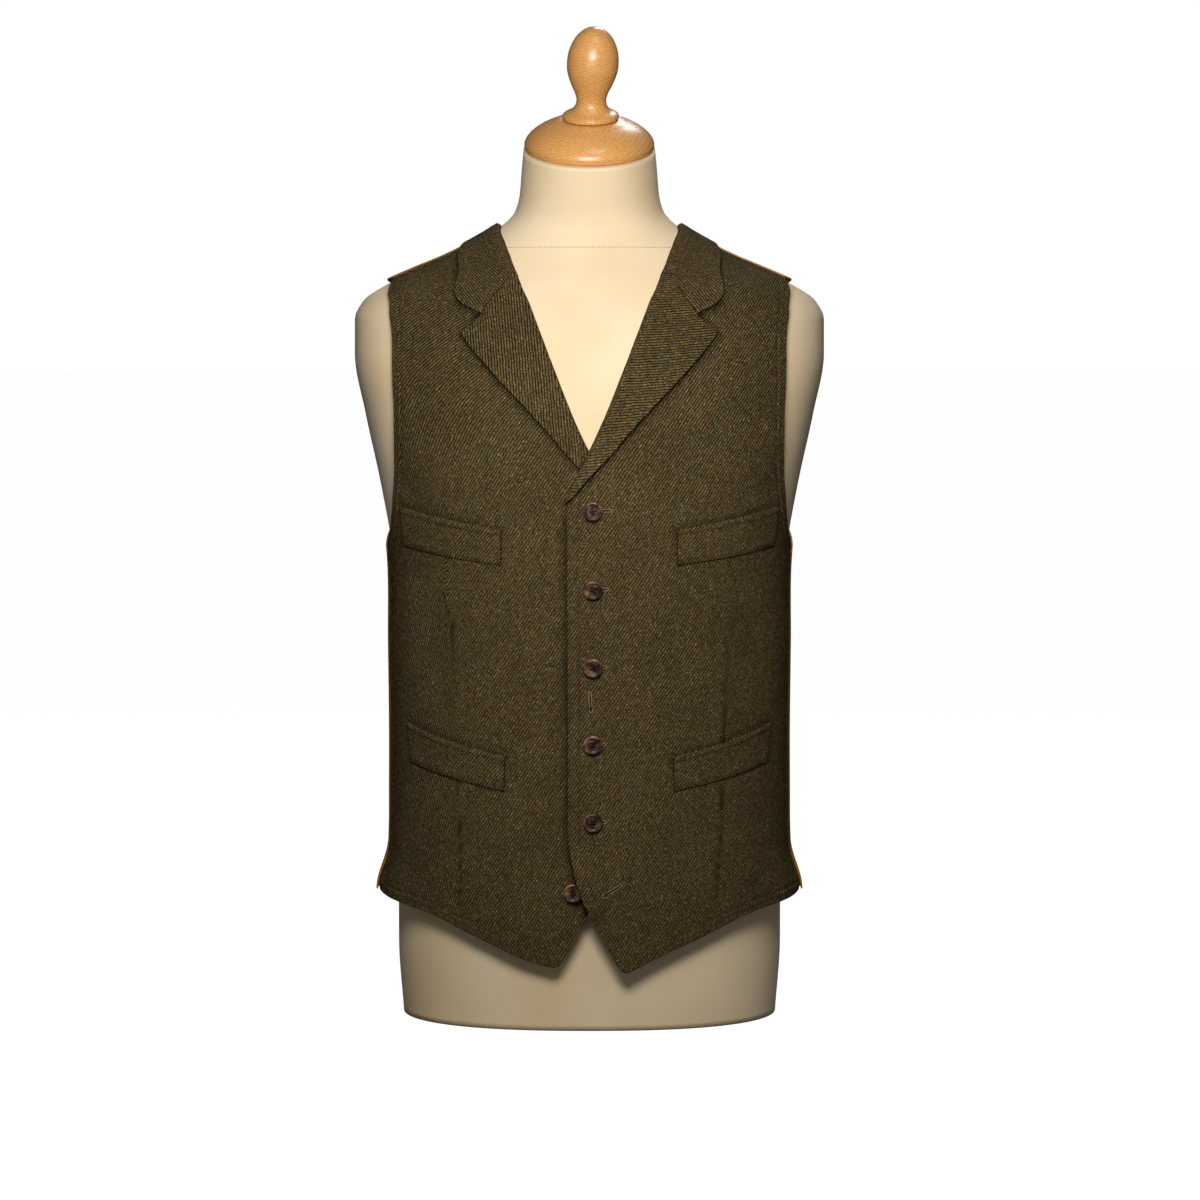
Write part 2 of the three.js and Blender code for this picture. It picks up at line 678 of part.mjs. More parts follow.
function lapelPatch(breakPoint) {
  const roll = rollPaths(breakPoint).lapel;
  const corner = cornerArc(onCloth(NOTCH), onCloth(LAPEL_CORNER), onCloth(LAPEL_EDGE[0]), 2.5, 2);
  const end = roll(1);
  const foot = (t) => [end[0] + (t * 3) / FOLD_ARC, end[1] + 2.6 * t];
  return patch({
    top: pathThrough([roll(0), onCloth(NOTCH), corner[0]]),
    bottom: foot,
    inner: roll,
    outer: pathThrough([...corner, ...LAPEL_EDGE.map(onCloth), foot(1)]),
  });
}

function collarPatch(breakPoint) {
  const roll = rollPaths(breakPoint).collar;
  const gorgeGap = SEAM_GAP + 0.1;
  const notch = onCloth({ x: NOTCH.x + gorgeGap / 2, z: NOTCH.z + gorgeGap });
  const inset = (p) => [degToRad(p.angle) - SEAM_GAP / 2 / NECK_ARC, p.z];
  const outerEnd = inset(COLLAR_AT_SEAM);
  const corner = cornerArc(onCloth(COLLAR_EDGE[1]), onCloth(COLLAR_CORNER), notch, 3.5, 3);
  const whole = [roll(1)[0] + gorgeGap / 2 / FOLD_ARC, roll(1)[1] + gorgeGap];
  return patch({
    top: pathThrough([roll(0), outerEnd]),
    bottom: pathThrough([whole, notch]),
    inner: (t) => (t < 1 ? roll(t) : whole),
    outer: pathThrough([outerEnd, ...COLLAR_EDGE.map(onCloth), ...corner, notch]),
  });
}

function addLapelsAndCollar() {
  const sides = [
    { end: "left", side: 1, lift: overLift, breakPoint: OVER_BREAK },
    { end: "right", side: -1, lift: flatLayer, breakPoint: UNDER_BREAK },
  ];
  for (const { end, side, lift, breakPoint } of sides) {
    // the under lapel is pressed flat before the upper front crosses it
    const full = side > 0 ? (v) => 1 - 0.5 * v : (v) => 1 - smoothstep(v, 0.4, 0.6);
    const lapel = lapelPatch(breakPoint);
    const swell = (v) => 1.8 * full(v);
    const lapelEdge = (v) => 1.6 * full(v) * smoothstep(v, 0, 0.2);
    addTurned(`lapel_${end}`, side, lapel, GRID.lapelRows, lift, swell, lapelEdge);
    const collar = collarPatch(breakPoint);
    const collarSwell = (v) => 1.8 * smoothstep(v, 0, 0.4);
    const collarEdge = (v) => 1.6 * Math.sin(Math.PI * v);
    addTurned(`collar_${end}`, side, collar, GRID.collarRows, lift, collarSwell, collarEdge);
  }
}

// A welt is a strip on the front: its foot and ends lie flat and its mouth stands a little open
function addWelts() {
  const places = [["upper", UPPER_WELT], ["lower", LOWER_WELT]];
  for (const [height, welt] of places)
    for (const [end, side, lift] of [["left", 1, overLift], ["right", -1, flatLayer]]) {
      const area = patch({
        top: pathThrough(welt.top.map(onCloth)),
        bottom: pathThrough(welt.foot.map(onCloth)),
        inner: pathThrough([welt.top[0], welt.foot[0]].map(onCloth)),
        outer: pathThrough([welt.top[2], welt.foot[2]].map(onCloth)),
      });
      const mouth = height === "lower" ? 1.3 : 0.5;
      const layer = (place, u, v) =>
        lift(place) + LAYER_GAP + mouth * (1 - smoothstep(v, 0, 0.7)) * Math.sin(Math.PI * u);
      addPanel(
        `welt_${height}_${end}`,
        MATERIALS.twill,
        area,
        GRID.welt,
        side,
        (place, u, v) => layer(place, u, v) + WELT_CLOTH,
        layer,
      );
    }
}

// A closed three.js geometry as a solid for cutting
function solidOf(geometry) {
  const bare = geometry.clone();
  bare.deleteAttribute("normal");
  bare.deleteAttribute("uv");
  const merged = mergeVertices(bare, 1e-4);
  return new wasm.Manifold(
    new wasm.Mesh({
      numProp: 3,
      vertProperties: merged.attributes.position.array,
      triVerts: new Uint32Array(merged.index.array),
    }),
  );
}

function geometryOf(solid) {
  const mesh = solid.getMesh();
  const geometry = new THREE.BufferGeometry();
  geometry.setAttribute("position", new THREE.BufferAttribute(mesh.vertProperties, 3));
  geometry.setIndex(new THREE.BufferAttribute(mesh.triVerts, 1));
  geometry.computeVertexNormals();
  return geometry;
}

// A four-hole button: a raised rim round a dished face, standing on +Z
function buttonGeometry() {
  const { radius, height, holeRadius, holePitch } = BUTTON;
  const outline = [
    [0, 0],
    [radius * 0.72, 0],
    [radius, height * 0.4],
    [radius * 0.97, height * 0.86],
    [radius * 0.83, height],
    [radius * 0.62, height * 0.7],
    [0, height * 0.62],
  ].map(([r, h]) => new THREE.Vector2(r, h));
  const turned = new THREE.LatheGeometry(outline, GRID.button).rotateX(Math.PI / 2);
  let solid = solidOf(turned);
  for (const [x, y] of [[1, 0], [0, 1], [-1, 0], [0, -1]]) {
    const hole = new THREE.CylinderGeometry(holeRadius, holeRadius, height * 3, 6)
      .rotateX(Math.PI / 2)
      .translate(x * holePitch, y * holePitch, height / 2);
    solid = solid.subtract(solidOf(hole));
  }
  return geometryOf(solid);
}

function addButtons() {
  const shape = buttonGeometry();
  const place = (name, x, z, layer) => {
    const at = [angleAt(x, z), z];
    const mesh = addMesh(name, shape, MATERIALS.horn);
    const foot = clothPoint(at, layer(at) + LAYER_GAP + 0.15);
    mesh.position.copy(foot);
    mesh.quaternion.setFromUnitVectors(new THREE.Vector3(0, 0, 1), formNormal(...at));
  };
  for (let i = 0; i < BUTTONS_FASTENED; i++)
    place(`button_${i + 1}`, BUTTON.line, BUTTON_TOP - i * BUTTON_SPACING, overLift);
  place(`button_${BUTTONS_FASTENED + 1}`, LOOSE_BUTTON.x, LOOSE_BUTTON.z, flatLayer);
}

// The covered torso and neck, closed flat below and by the leaning neck top
function addForm() {
  const heights = FORM.map((row) => row.z);
  const between = [];
  for (let i = 0; i < heights.length - 1; i++) {
    between.push(heights[i]);
    if (heights[i + 1] - heights[i] > 60) between.push((heights[i] + heights[i + 1]) / 2);
  }
  between.push(heights[heights.length - 1]);
  const round = GRID.formRound;
  const points = [];
  for (const z of between)
    for (let i = 0; i < round; i++) points.push(formPoint((2 * Math.PI * i) / round, z));
  const faces = [];
  for (let j = 0; j < between.length - 1; j++)
    for (let i = 0; i < round; i++) {
      const [a, b] = [j * round + i, j * round + ((i + 1) % round)];
      faces.push(a, b, b + round, a, b + round, a + round);
    }
  const caps = [[0, 1], [between.length - 1, -1]];
  for (const [ring, turn] of caps) {
    const centre = points.length;
    const z = between[ring];
    points.push(new THREE.Vector3(0, form.middle(z), z));
    for (let i = 0; i < round; i++) {
      const pair = [ring * round + i, ring * round + ((i + 1) % round)];
      faces.push(centre, ...(turn > 0 ? pair.reverse() : pair));
    }
  }
  addMesh("form_torso", facingOut(points, faces), MATERIALS.jersey);
}

// The beech cap and finial, turned on one axis that leans with the neck top
function addCap() {
  const top = FORM[FORM.length - 1];
  const axis = new THREE.Group();
  axis.position.set(0, top.middle, top.z);
  axis.rotation.x = degToRad(CAP_TILT);
  const turned = (outline) => {
    const points = outline.map(({ r, h }) => new THREE.Vector2(r, h));
    return new THREE.LatheGeometry(points, GRID.turned).rotateX(Math.PI / 2);
  };
  const cap = new THREE.Mesh(turned(CAP_OUTLINE), MATERIALS.beech);
  cap.name = "neck_cap";
  const sideways = new THREE.Matrix4().makeShear(0, 0, 0, 0, Math.tan(degToRad(FINIAL_LEAN)), 0);
  const finial = new THREE.Mesh(turned(FINIAL_OUTLINE).applyMatrix4(sideways), MATERIALS.beech);
  finial.name = "finial";
  axis.add(cap, finial);
  waistcoatOnForm.add(axis);
}

addForm();
addCap();
addFronts();
addBacks();
addLapelsAndCollar();
addWelts();
addButtons();

export default waistcoatOnForm;
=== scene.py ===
"""A tweed waistcoat with a satin back, worn on a tailor's form with a turned beech cap.

The form is a stack of rounded sections. A place on the cloth is an angle round the body, 0 at
the centre front and 180 at the centre back, and a height. Sizes are in millimetres until a
mesh is made.
"""

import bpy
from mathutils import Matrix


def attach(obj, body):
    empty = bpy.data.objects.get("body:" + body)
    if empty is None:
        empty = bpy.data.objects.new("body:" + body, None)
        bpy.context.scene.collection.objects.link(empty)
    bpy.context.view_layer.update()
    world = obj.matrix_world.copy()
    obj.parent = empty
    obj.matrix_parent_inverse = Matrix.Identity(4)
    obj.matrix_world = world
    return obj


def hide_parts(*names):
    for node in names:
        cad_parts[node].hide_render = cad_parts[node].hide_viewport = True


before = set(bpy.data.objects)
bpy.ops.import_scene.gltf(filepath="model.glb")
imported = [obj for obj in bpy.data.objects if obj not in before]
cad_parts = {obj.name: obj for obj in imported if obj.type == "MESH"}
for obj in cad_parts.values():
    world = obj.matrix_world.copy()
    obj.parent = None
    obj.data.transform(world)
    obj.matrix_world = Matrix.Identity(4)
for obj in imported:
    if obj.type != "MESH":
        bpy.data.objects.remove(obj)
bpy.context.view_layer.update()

import functools
import math

import bpy
import numpy as np
from bpy.props import FloatProperty, FloatVectorProperty, IntProperty, PointerProperty
from mathutils import Euler, Matrix, Vector

bl_info = {
    "name": "Waistcoat on a tailor's form",
    "version": (1, 0, 0),
    "blender": (4, 5, 0),
    "location": "View3D > Sidebar > Waistcoat",
    "description": "Makes a six-button tweed waistcoat worn on a padded form",
    "category": "Object",
}

SEAM_GAP = 0.35
LAYER_GAP = 0.5
SLACK = 0.35
FRONT_CLOTH = 2.2
BACK_CLOTH = 1.2
LAPEL_CLOTH = 2.0
WELT_CLOTH = 1.7
NECK_SEAM = 636.0
SHOULDER_SEAM = 76.5
SIDE_SEAM = 76
BUTTON_LINE = 3.3
BUTTON_RADIUS = 7.7
HOLE_RADIUS = 1.1
HOLE_PLACE = 2.05
BUTTON_HEIGHTS = [424.5 - 62.8 * i for i in range(5)]
LOOSE_BUTTON = (-13.4, 116)
CAP_TILT = 18.5
FINIAL_LEAN = 2.3

# height, half width, front, back, widest, squareness
FORM = np.array(
    [
        (0, 156, -106, 112, 4, 2.35),
        (60, 160, -108, 116, 5, 2.35),
        (110, 160, -110, 112, 5, 2.35),
        (170, 157, -111, 101, 3, 2.35),
        (235, 155, -112, 94, 1, 2.35),
        (310, 158, -117, 98, 0, 2.4),
        (387, 164, -123, 108, 0, 2.4),
        (440, 173, -125, 115, 1, 2.4),
        (500, 186, -120, 118, 3, 2.35),
        (550, 195, -106, 114, 5, 2.25),
        (578, 195, -92, 107, 6, 2.15),
        (594, 187, -82, 100, 6, 2.1),
        (606, 169, -74, 94, 6, 2.05),
        (617, 146, -66, 88, 6, 2.0),
        (629, 118, -58, 82, 6, 2.0),
        (643, 91, -52, 76, 6, 2.0),
        (654, 74, -49, 70, 5, 2.0),
        (666, 62, -51, 63, 3, 2.0),
        (680, 57.8, -55, 57, 0, 2.0),
        (700, 56, -60, 50, -5.5, 2.0),
        (717.5, 54.3, -64, 45, -9.5, 2.0),
    ]
)
LEAN = np.array([(640, 0), (655, 0.03), (685, 0.14), (717.5, math.tan(math.radians(CAP_TILT)))])

# height, then how far the cloth's outer face stands off the form at the front, side and back
EASE = np.array(
    [
        (50, 15, 10, 12),
        (110, 14, 9.5, 13),
        (235, 10, 12.5, 12),
        (310, 8, 10, 9),
        (387, 6.5, 5, 5),
        (450, 5.5, 4, 3.4),
        (520, 4.7, 3.4, 3.4),
        (578, 4.1, 4.4, 4.6),
        (598, 3.8, 4.6, 4.8),
        (625, 3.4, 3.5, 3.5),
        (660, 3.2, 3.2, 3.2),
    ]
)

# The solids' swells and hollows: angle, height, across, along, lean, depth
FOLDS = [
    (-46, 312, 26, 62, 8, -3.2),
    (48, 306, 28, 58, -8, -3.0),
    (-52, 440, 16, 24, 30, -1.8),
    (53, 442, 16, 24, -30, -1.8),
    (-37, 150, 20, 70, 0, -1.6),
    (36, 150, 22, 70, 0, -1.5),
    (-62, 130, 18, 50, 0, 1.4),
    (63, 128, 18, 50, 0, 1.6),
    (151, 250, 14, 95, 6, -2.6),
    (-149, 244, 14, 95, -6, -2.4),
    (118, 262, 15, 80, 10, -2.0),
    (-120, 268, 15, 80, -10, -2.0),
]
FOLD_ARC = 165
NECK_ARC = 56
SIDE_ARC = 115

# Finer creases that the wearing leaves, in the front's view: x, height, across, along, lean, depth
CREASES = [
    (-60, 330, 5, 34, -24, -0.5),
    (62, 322, 5, 32, 22, -0.5),
    (-128, 345, 6, 30, -18, -0.7),
    (130, 338, 6, 30, 20, -0.7),
    (-36, 268, 5, 40, 12, -0.45),
    (44, 262, 6, 42, -10, -0.4),
    (-80, 296, 7, 46, 14, 0.4),
    (88, 290, 7, 46, -12, 0.4),
    (-28, 390, 4, 26, -38, -0.35),
    (30, 394, 4, 26, 40, -0.35),
    (-90, 470, 8, 34, 34, -0.4),
    (96, 474, 8, 34, -34, -0.4),
    (-140, 500, 6, 40, 8, -0.5),
    (140, 496, 6, 40, -8, -0.5),
    (-52, 130, 6, 44, 4, 0.4),
    (54, 128, 6, 44, -6, 0.4),
]

ROLL_LINE = [
    (74.5, 641), (63.5, 615), (52.6, 590), (41.8, 563), (30.6, 535), (18.5, 505), (5.8, 477),
]
NECK_POINT = 652.5
SHOULDER_POINT = 609.5
OVER_BREAK = (-17.5, 432)
UNDER_BREAK = (-20, 432)
OVER_EDGE = [
    (-18, 420), (-18.2, 300), (-18, 175), (-17, 156),
    (-14, 138), (-8.4, 118.5), (0.8, 97), (12.5, 76),
]
UNDER_EDGE = [
    (-22, 420), (-22, 300), (-21, 175), (-18.5, 156),
    (-14.5, 138), (-8.6, 119), (0.8, 98), (11.5, 79),
]
OVER_TIP = (27.8, 49)
UNDER_TIP = (26, 53.5)
TIP_RADIUS = 8
HEM = [(52, 60.5), (90, 76.5), (130, 93)]
SIDE_CORNER = 105
SIDE_CORNER_RADIUS = 4
ARMHOLE = [
    (167, 601), (165.8, 591), (164.5, 580), (161, 544), (159.5, 512),
    (159, 480), (160, 447), (161.5, 424), (164, 402),
]
ARMPIT = 385
LAPEL_EDGE = [(87.5, 543), (70, 524), (52, 506), (35, 488), (17, 467), (2, 452)]
LAPEL_CORNER = (104.5, 563.5)
NOTCH = (87.6, 578.6)
GORGE_TOP = 610
COLLAR_CORNER = (107, 588)
COLLAR_EDGE = [(108, 626), (107.5, 610)]
COLLAR_AT_SEAM = 636
NAPE = 650
BACK_NECK = [(150, 650.5), (120, 652), (98, 653.5)]
BACK_ARMHOLE = [
    (166.5, 603), (165, 591), (163, 573), (162, 545),
    (160, 510), (161, 472), (163, 438), (166.5, 408),
]
BACK_ARMHOLE_SHARE = 0.46
BACK_HEM = [(140, 99), (100, 103)]
BACK_HEM_CENTRE = 98
VENT_TOP = 139
FRONT_FLARE = 8
BACK_FLARE = 10
FLARE_REACH = 26
UPPER_WELT = (
    [(70.5, 409), (112, 416.5), (153, 426)],
    [(70.8, 380.5), (112, 386), (150, 394)],
)
LOWER_WELT = (
    [(70, 225.5), (112, 235.5), (149, 249)],
    [(70.5, 197), (112, 205.5), (146, 216)],
)
DART_LEFT = [(116.3, 337), (114.5, 271), (109, 162), (104, 109)]
DART_RIGHT = [(120.6, 357), (113.4, 330), (111.5, 271), (106.7, 148), (106, 103)]

# Turned outlines on the leaning axis: radius, height
CAP_OUTLINE = [
    (0, 0.4), (51.5, 0.4), (53.3, 1.8), (53.7, 4.5), (52.6, 8), (50, 11.6),
    (46, 15.2), (40.5, 18.9), (33.2, 22.4), (24, 25.6), (0, 25.6),
]
FINIAL_OUTLINE = [
    (0, 26), (22, 26), (23.2, 27.2), (23, 29.4), (21, 31), (17, 33), (14.2, 35.6), (12.6, 38.8),
    (12.2, 42), (13.4, 47), (16.6, 54), (19.5, 61.5), (21, 68), (21.2, 73), (20.6, 80),
    (18.6, 87), (15, 94), (10.2, 99), (5, 102), (0, 102.8),
]


# Curves and the worn surface


def curve_through(xs, ys):
    """A smooth curve through a table's rows that never overshoots them."""
    xs, ys = np.asarray(xs, float), np.asarray(ys, float)
    gap = np.diff(xs)
    rise = np.diff(ys) / gap
    slope = np.empty_like(ys)
    slope[0], slope[-1] = rise[0], rise[-1]
    for i in range(1, len(xs) - 1):
        before, after = 2 * gap[i] + gap[i - 1], gap[i] + 2 * gap[i - 1]
        same_way = rise[i - 1] * rise[i] > 0
        slope[i] = (before + after) / (before / rise[i - 1] + after / rise[i]) if same_way else 0

    def at(x):
        t = np.clip(x, xs[0], xs[-1])
        i = np.clip(np.searchsorted(xs, t, side="right") - 1, 0, len(xs) - 2)
        s = (t - xs[i]) / gap[i]
        return (
            (2 * s**3 - 3 * s**2 + 1) * ys[i]
            + (s**3 - 2 * s**2 + s) * gap[i] * slope[i]
            + (3 * s**2 - 2 * s**3) * ys[i + 1]
            + (s**3 - s**2) * gap[i] * slope[i + 1]
        )

    return at


HALF, FRONT, BACK, MIDDLE, SQUARE = (curve_through(FORM[:, 0], FORM[:, k]) for k in range(1, 6))
LEAN_AT = curve_through(LEAN[:, 0], LEAN[:, 1])
EASE_FRONT, EASE_SIDE, EASE_BACK = (curve_through(EASE[:, 0], EASE[:, k]) for k in (1, 2, 3))


def smoothstep(x, low, high):
    t = np.clip((x - low) / (high - low), 0, 1)
    return t * t * (3 - 2 * t)


def form_point(angle, z):
    angle, z = np.broadcast_arrays(np.asarray(angle, float), np.asarray(z, float))
    power = SQUARE(z)
    s, c = np.sin(angle), np.cos(angle)
    rounding = (np.abs(s) ** power + np.abs(c) ** power) ** (1 / power)
    middle = MIDDLE(z)
    depth = np.where(c > 0, middle - FRONT(z), BACK(z) - middle)
    y = middle - depth * c / rounding
    return np.stack([HALF(z) * s / rounding, y, z + LEAN_AT(z) * (y - middle)], -1)


def form_normal(angle, z):
    turn, rise = 1e-3, 0.3
    across = form_point(angle + turn, z) - form_point(angle - turn, z)
    up = form_point(angle, z + rise) - form_point(angle, z - rise)
    normal = np.cross(across, up)
    return normal / np.linalg.norm(normal, axis=-1, keepdims=True)


def dents(across_mm, up_mm, table):
    """Adds up soft hollows and swells, each as centre, sizes, lean and depth."""
    total = np.zeros(np.broadcast(across_mm, up_mm).shape)
    for x, z, wide, tall, lean, depth in table:
        tilt = math.radians(lean)
        right, up = across_mm - x, up_mm - z
        across = (right * math.cos(tilt) + up * math.sin(tilt)) / wide
        along = (up * math.cos(tilt) - right * math.sin(tilt)) / tall
        total += depth * np.exp(-(across**2) - along**2)
    return total


def fold_depth(angle, z):
    table = [(math.radians(a) * FOLD_ARC, *rest) for a, *rest in FOLDS]
    return dents(angle * FOLD_ARC, z, table)


def cloth_point(angle, z, layer=0.0):
    s, c = np.sin(angle), np.cos(angle)
    front, back = np.maximum(c, 0) ** 2, np.maximum(-c, 0) ** 2
    off = EASE_FRONT(z) * front + EASE_SIDE(z) * s**2 + EASE_BACK(z) * back
    height = off + fold_depth(angle, z) + layer
    return form_point(angle, z) + form_normal(angle, z) * height[..., None]


def angle_at(x, z):
    share = min(abs(x) / (float(HALF(z)) + float(EASE_SIDE(z))), 0.99999)
    if share < 1e-6:
        return 0.0
    power = float(SQUARE(z))
    return math.copysign(math.atan((share**-power - 1) ** (-1 / power)), x)


def across_at(angle, z):
    power = SQUARE(z)
    s = np.sin(angle)
    rounding = (np.abs(s) ** power + np.abs(np.cos(angle)) ** power) ** (1 / power)
    return (HALF(z) + EASE_SIDE(z)) * s / rounding


def on_front(points):
    return [(angle_at(x, z), z) for x, z in points]


def path_through(points):
    """A path through (angle, height) points, as a function of the share of its length."""
    at = np.array(points, float)
    step = np.hypot(np.diff(at[:, 0]) * FOLD_ARC, np.diff(at[:, 1]))
    share = np.concatenate([[0], np.cumsum(step)]) / step.sum()
    angle, z = curve_through(share, at[:, 0]), curve_through(share, at[:, 1])
    return lambda t: np.stack([angle(t), z(t)], -1)


def joined(first, second, share):
    def at(t):
        t = np.asarray(t, float)
        early = first(np.clip(t / share, 0, 1))
        late = second(np.clip((t - share) / (1 - share), 0, 1))
        return np.where((t <= share)[..., None], early, late)

    return at


def corner_arc(before, corner, after, radius, steps=10):
    flat = [np.array((a * FOLD_ARC, z)) for a, z in (before, corner, after)]
    back, on = flat[0] - flat[1], flat[2] - flat[1]
    back, on = back / np.linalg.norm(back), on / np.linalg.norm(on)
    reach = radius / math.tan(math.acos(float(back @ on)) / 2)
    t = np.linspace(0, 1, steps + 1)[:, None]
    points = flat[1] + back * reach * (1 - t) ** 2 + on * reach * t**2
    return [(x / FOLD_ARC, z) for x, z in points]


def patch(top, bottom, inner, outer, flat=lambda p: p, rounded=lambda p: p):
    """A four-sided area between its edges: u runs from inner to outer, v downwards."""
    ends = {t: flat(top(np.array(t))) for t in (0.0, 1.0)}
    feet = {t: flat(bottom(np.array(t))) for t in (0.0, 1.0)}

    def at(u, v):
        u, v = np.broadcast_arrays(u, v)
        u1, v1 = u[..., None], v[..., None]
        mixed = (
            (1 - v1) * flat(top(u))
            + v1 * flat(bottom(u))
            + (1 - u1) * flat(inner(v))
            + u1 * flat(outer(v))
            - (1 - u1) * (1 - v1) * ends[0.0]
            - u1 * (1 - v1) * ends[1.0]
            - (1 - u1) * v1 * feet[0.0]
            - u1 * v1 * feet[1.0]
        )
        return rounded(mixed)

    return at


def shares(length, coarse, spots):
    """Shares of a length, coarse mm apart but closer round spots of (place, reach, step)."""
    x = np.linspace(0, length, 4000)
    step = np.full_like(x, coarse)
    for place, reach, fine in spots:
        near = 1 - smoothstep(np.abs(x - place), reach, reach + 8 * fine + 2)
        step = np.minimum(step, coarse + (fine - coarse) * near)
    count = np.concatenate([[0], np.cumsum(np.diff(x) / step[1:])])
    total = int(round(count[-1]))
    return np.interp(np.linspace(0, count[-1], total + 1), count, x) / length


# The cloth's own measures, for the weave


def fabric_table():
    angles = np.radians(np.linspace(-180, 180, 241))
    heights = np.linspace(0, 720, 121)
    grid = cloth_point(*np.meshgrid(angles, heights, indexing="ij"))
    round_step = np.linalg.norm(np.diff(grid, axis=0), axis=-1)
    up_step = np.linalg.norm(np.diff(grid, axis=1), axis=-1)
    across = np.concatenate([np.zeros((1, len(heights))), np.cumsum(round_step, 0)])
    across -= across[len(angles) // 2]
    up = np.concatenate([np.zeros((len(angles), 1)), np.cumsum(up_step, 1)], 1)
    return angles, heights, across, up


FABRIC = fabric_table()


def fabric_mm(angle, z):
    """How far round and up the cloth a place lies, measured along the cloth."""
    angles, heights, across, up = FABRIC
    i = np.clip((angle - angles[0]) / (angles[1] - angles[0]), 0, len(angles) - 1.001)
    j = np.clip((z - heights[0]) / (heights[1] - heights[0]), 0, len(heights) - 1.001)
    i0, j0 = i.astype(int), j.astype(int)
    fi, fj = i - i0, j - j0
    near = [
        ((1 - fi) * (1 - fj), i0, j0),
        (fi * (1 - fj), i0 + 1, j0),
        ((1 - fi) * fj, i0, j0 + 1),
        (fi * fj, i0 + 1, j0 + 1),
    ]
    return tuple(sum(w * table[a, b] for w, a, b in near) for table in (across, up))


def turned_uv(across, up, degrees):
    """The weave's own measures, turned so that its ribs lean by that much."""
    c, s = math.cos(math.radians(degrees)), math.sin(math.radians(degrees))
    return np.stack([across * c + up * s, up * c - across * s], -1) / 100


# Meshes


def new_object(name, points, faces, material, uv=None, uv_name="weave", painted_shade=None):
    """A piece at the origin from points in mm, with its faces turned to point outwards."""
    points = np.asarray(points, float) / 1000
    faces = [tuple(int(i) for i in face) for face in faces]
    volume = 0.0
    for face in faces:
        a = points[face[0]]
        for k in range(1, len(face) - 1):
            volume += a.dot(np.cross(points[face[k]], points[face[k + 1]]))
    if volume < 0:
        faces = [face[::-1] for face in faces]
    mesh = bpy.data.meshes.new(name)
    mesh.from_pydata(points.tolist(), [], faces)
    mesh.polygons.foreach_set("use_smooth", [True] * len(faces))
    if uv is not None:
        layer = mesh.uv_layers.new(name=uv_name)
        corners = np.empty(len(mesh.loops), int)
        mesh.loops.foreach_get("vertex_index", corners)
        layer.data.foreach_set("uv", np.asarray(uv, float)[corners].ravel())
    # painted shade, per point, that the cloth's material darkens its colour by
    if painted_shade is not None:
        mesh.attributes.new("painted_shade", "FLOAT", "POINT").data.foreach_set("value", np.ravel(painted_shade))
    mesh.materials.append(material)
    mesh.update()
    piece = bpy.data.objects.new(name, mesh)
    bpy.context.scene.collection.objects.link(piece)
    return piece


def wall_faces(rows, columns):
    """Faces of a closed wall: the outer grid's, the inner grid's and the rim's between them."""
    index = np.arange(rows * columns).reshape(rows, columns)
    a, b = index[:-1, :-1].ravel(), index[:-1, 1:].ravel()
    c, d = index[1:, 1:].ravel(), index[1:, :-1].ravel()
    size = rows * columns
    outer = np.stack([a, b, c, d], 1)
    inner = np.stack([a, d, c, b], 1) + size
    rim = np.concatenate(
        [index[0, :-1], index[:-1, -1], index[-1, :0:-1], index[:0:-1, 0]]
    )
    after = np.roll(rim, -1)
    edge = np.stack([rim, rim + size, after + size, after], 1)
    return np.concatenate([outer, inner, edge])


def rim_distance(grid):
    """How far each point of a grid lies from the grid's rim, in mm."""
    rim = np.concatenate([grid[0], grid[-1], grid[:, 0], grid[:, -1]])
    flat = grid.reshape(-1, 3)
    nearest = np.empty(len(flat))
    for start in range(0, len(flat), 4000):
        part = flat[start : start + 4000]
        gaps = ((part[:, None] - rim[None]) ** 2).sum(-1)
        nearest[start : start + 4000] = np.sqrt(gaps.min(1))
    return nearest.reshape(grid.shape[:2])


def round_edge(distance, radius):
    """How far a face drops towards its rim, as a quarter circle of that radius."""
    short = np.clip(1 - distance / radius, 0, 1)
    return radius * (1 - np.sqrt(1 - short**2))


def distance_to_line(x, z, line):
    """Distance in the front's view from points to a line of (x, z)."""
    best = np.full(np.shape(x), 1e9)
    for (x0, z0), (x1, z1) in zip(line, line[1:]):
        dx, dz = x1 - x0, z1 - z0
        t = np.clip(((x - x0) * dx + (z - z0) * dz) / (dx * dx + dz * dz), 0, 1)
        best = np.minimum(best, np.hypot(x - x0 - t * dx, z - z0 - t * dz))
    return best


def finish_cloth(piece, node):
    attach(piece, "root")
    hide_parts(node)


# Colours and materials


def linear(hex_colour):
    """An sRGB hex colour as linear red, green, blue and a full alpha."""
    channels = [int(hex_colour[i : i + 2], 16) / 255 for i in (1, 3, 5)]
    return tuple(c / 12.92 if c <= 0.04045 else ((c + 0.055) / 1.055) ** 2.4 for c in channels) + (1.0,)


def add_node(tree, kind, inputs=None, **settings):
    """Adds a node; an input given as a socket is linked, and anything else is its value."""
    node = tree.nodes.new(kind)
    for name, value in settings.items():
        setattr(node, name, value)
    for key, value in (inputs or {}).items():
        if isinstance(value, bpy.types.NodeSocket):
            tree.links.new(value, node.inputs[key])
        else:
            node.inputs[key].default_value = value
    return node


def new_material(name):
    material = bpy.data.materials.new(name)
    material.use_nodes = True
    tree = material.node_tree
    tree.nodes.clear()
    shader = add_node(tree, "ShaderNodeBsdfPrincipled")
    output = add_node(tree, "ShaderNodeOutputMaterial")
    tree.links.new(shader.outputs["BSDF"], output.inputs["Surface"])
    return material, tree, shader


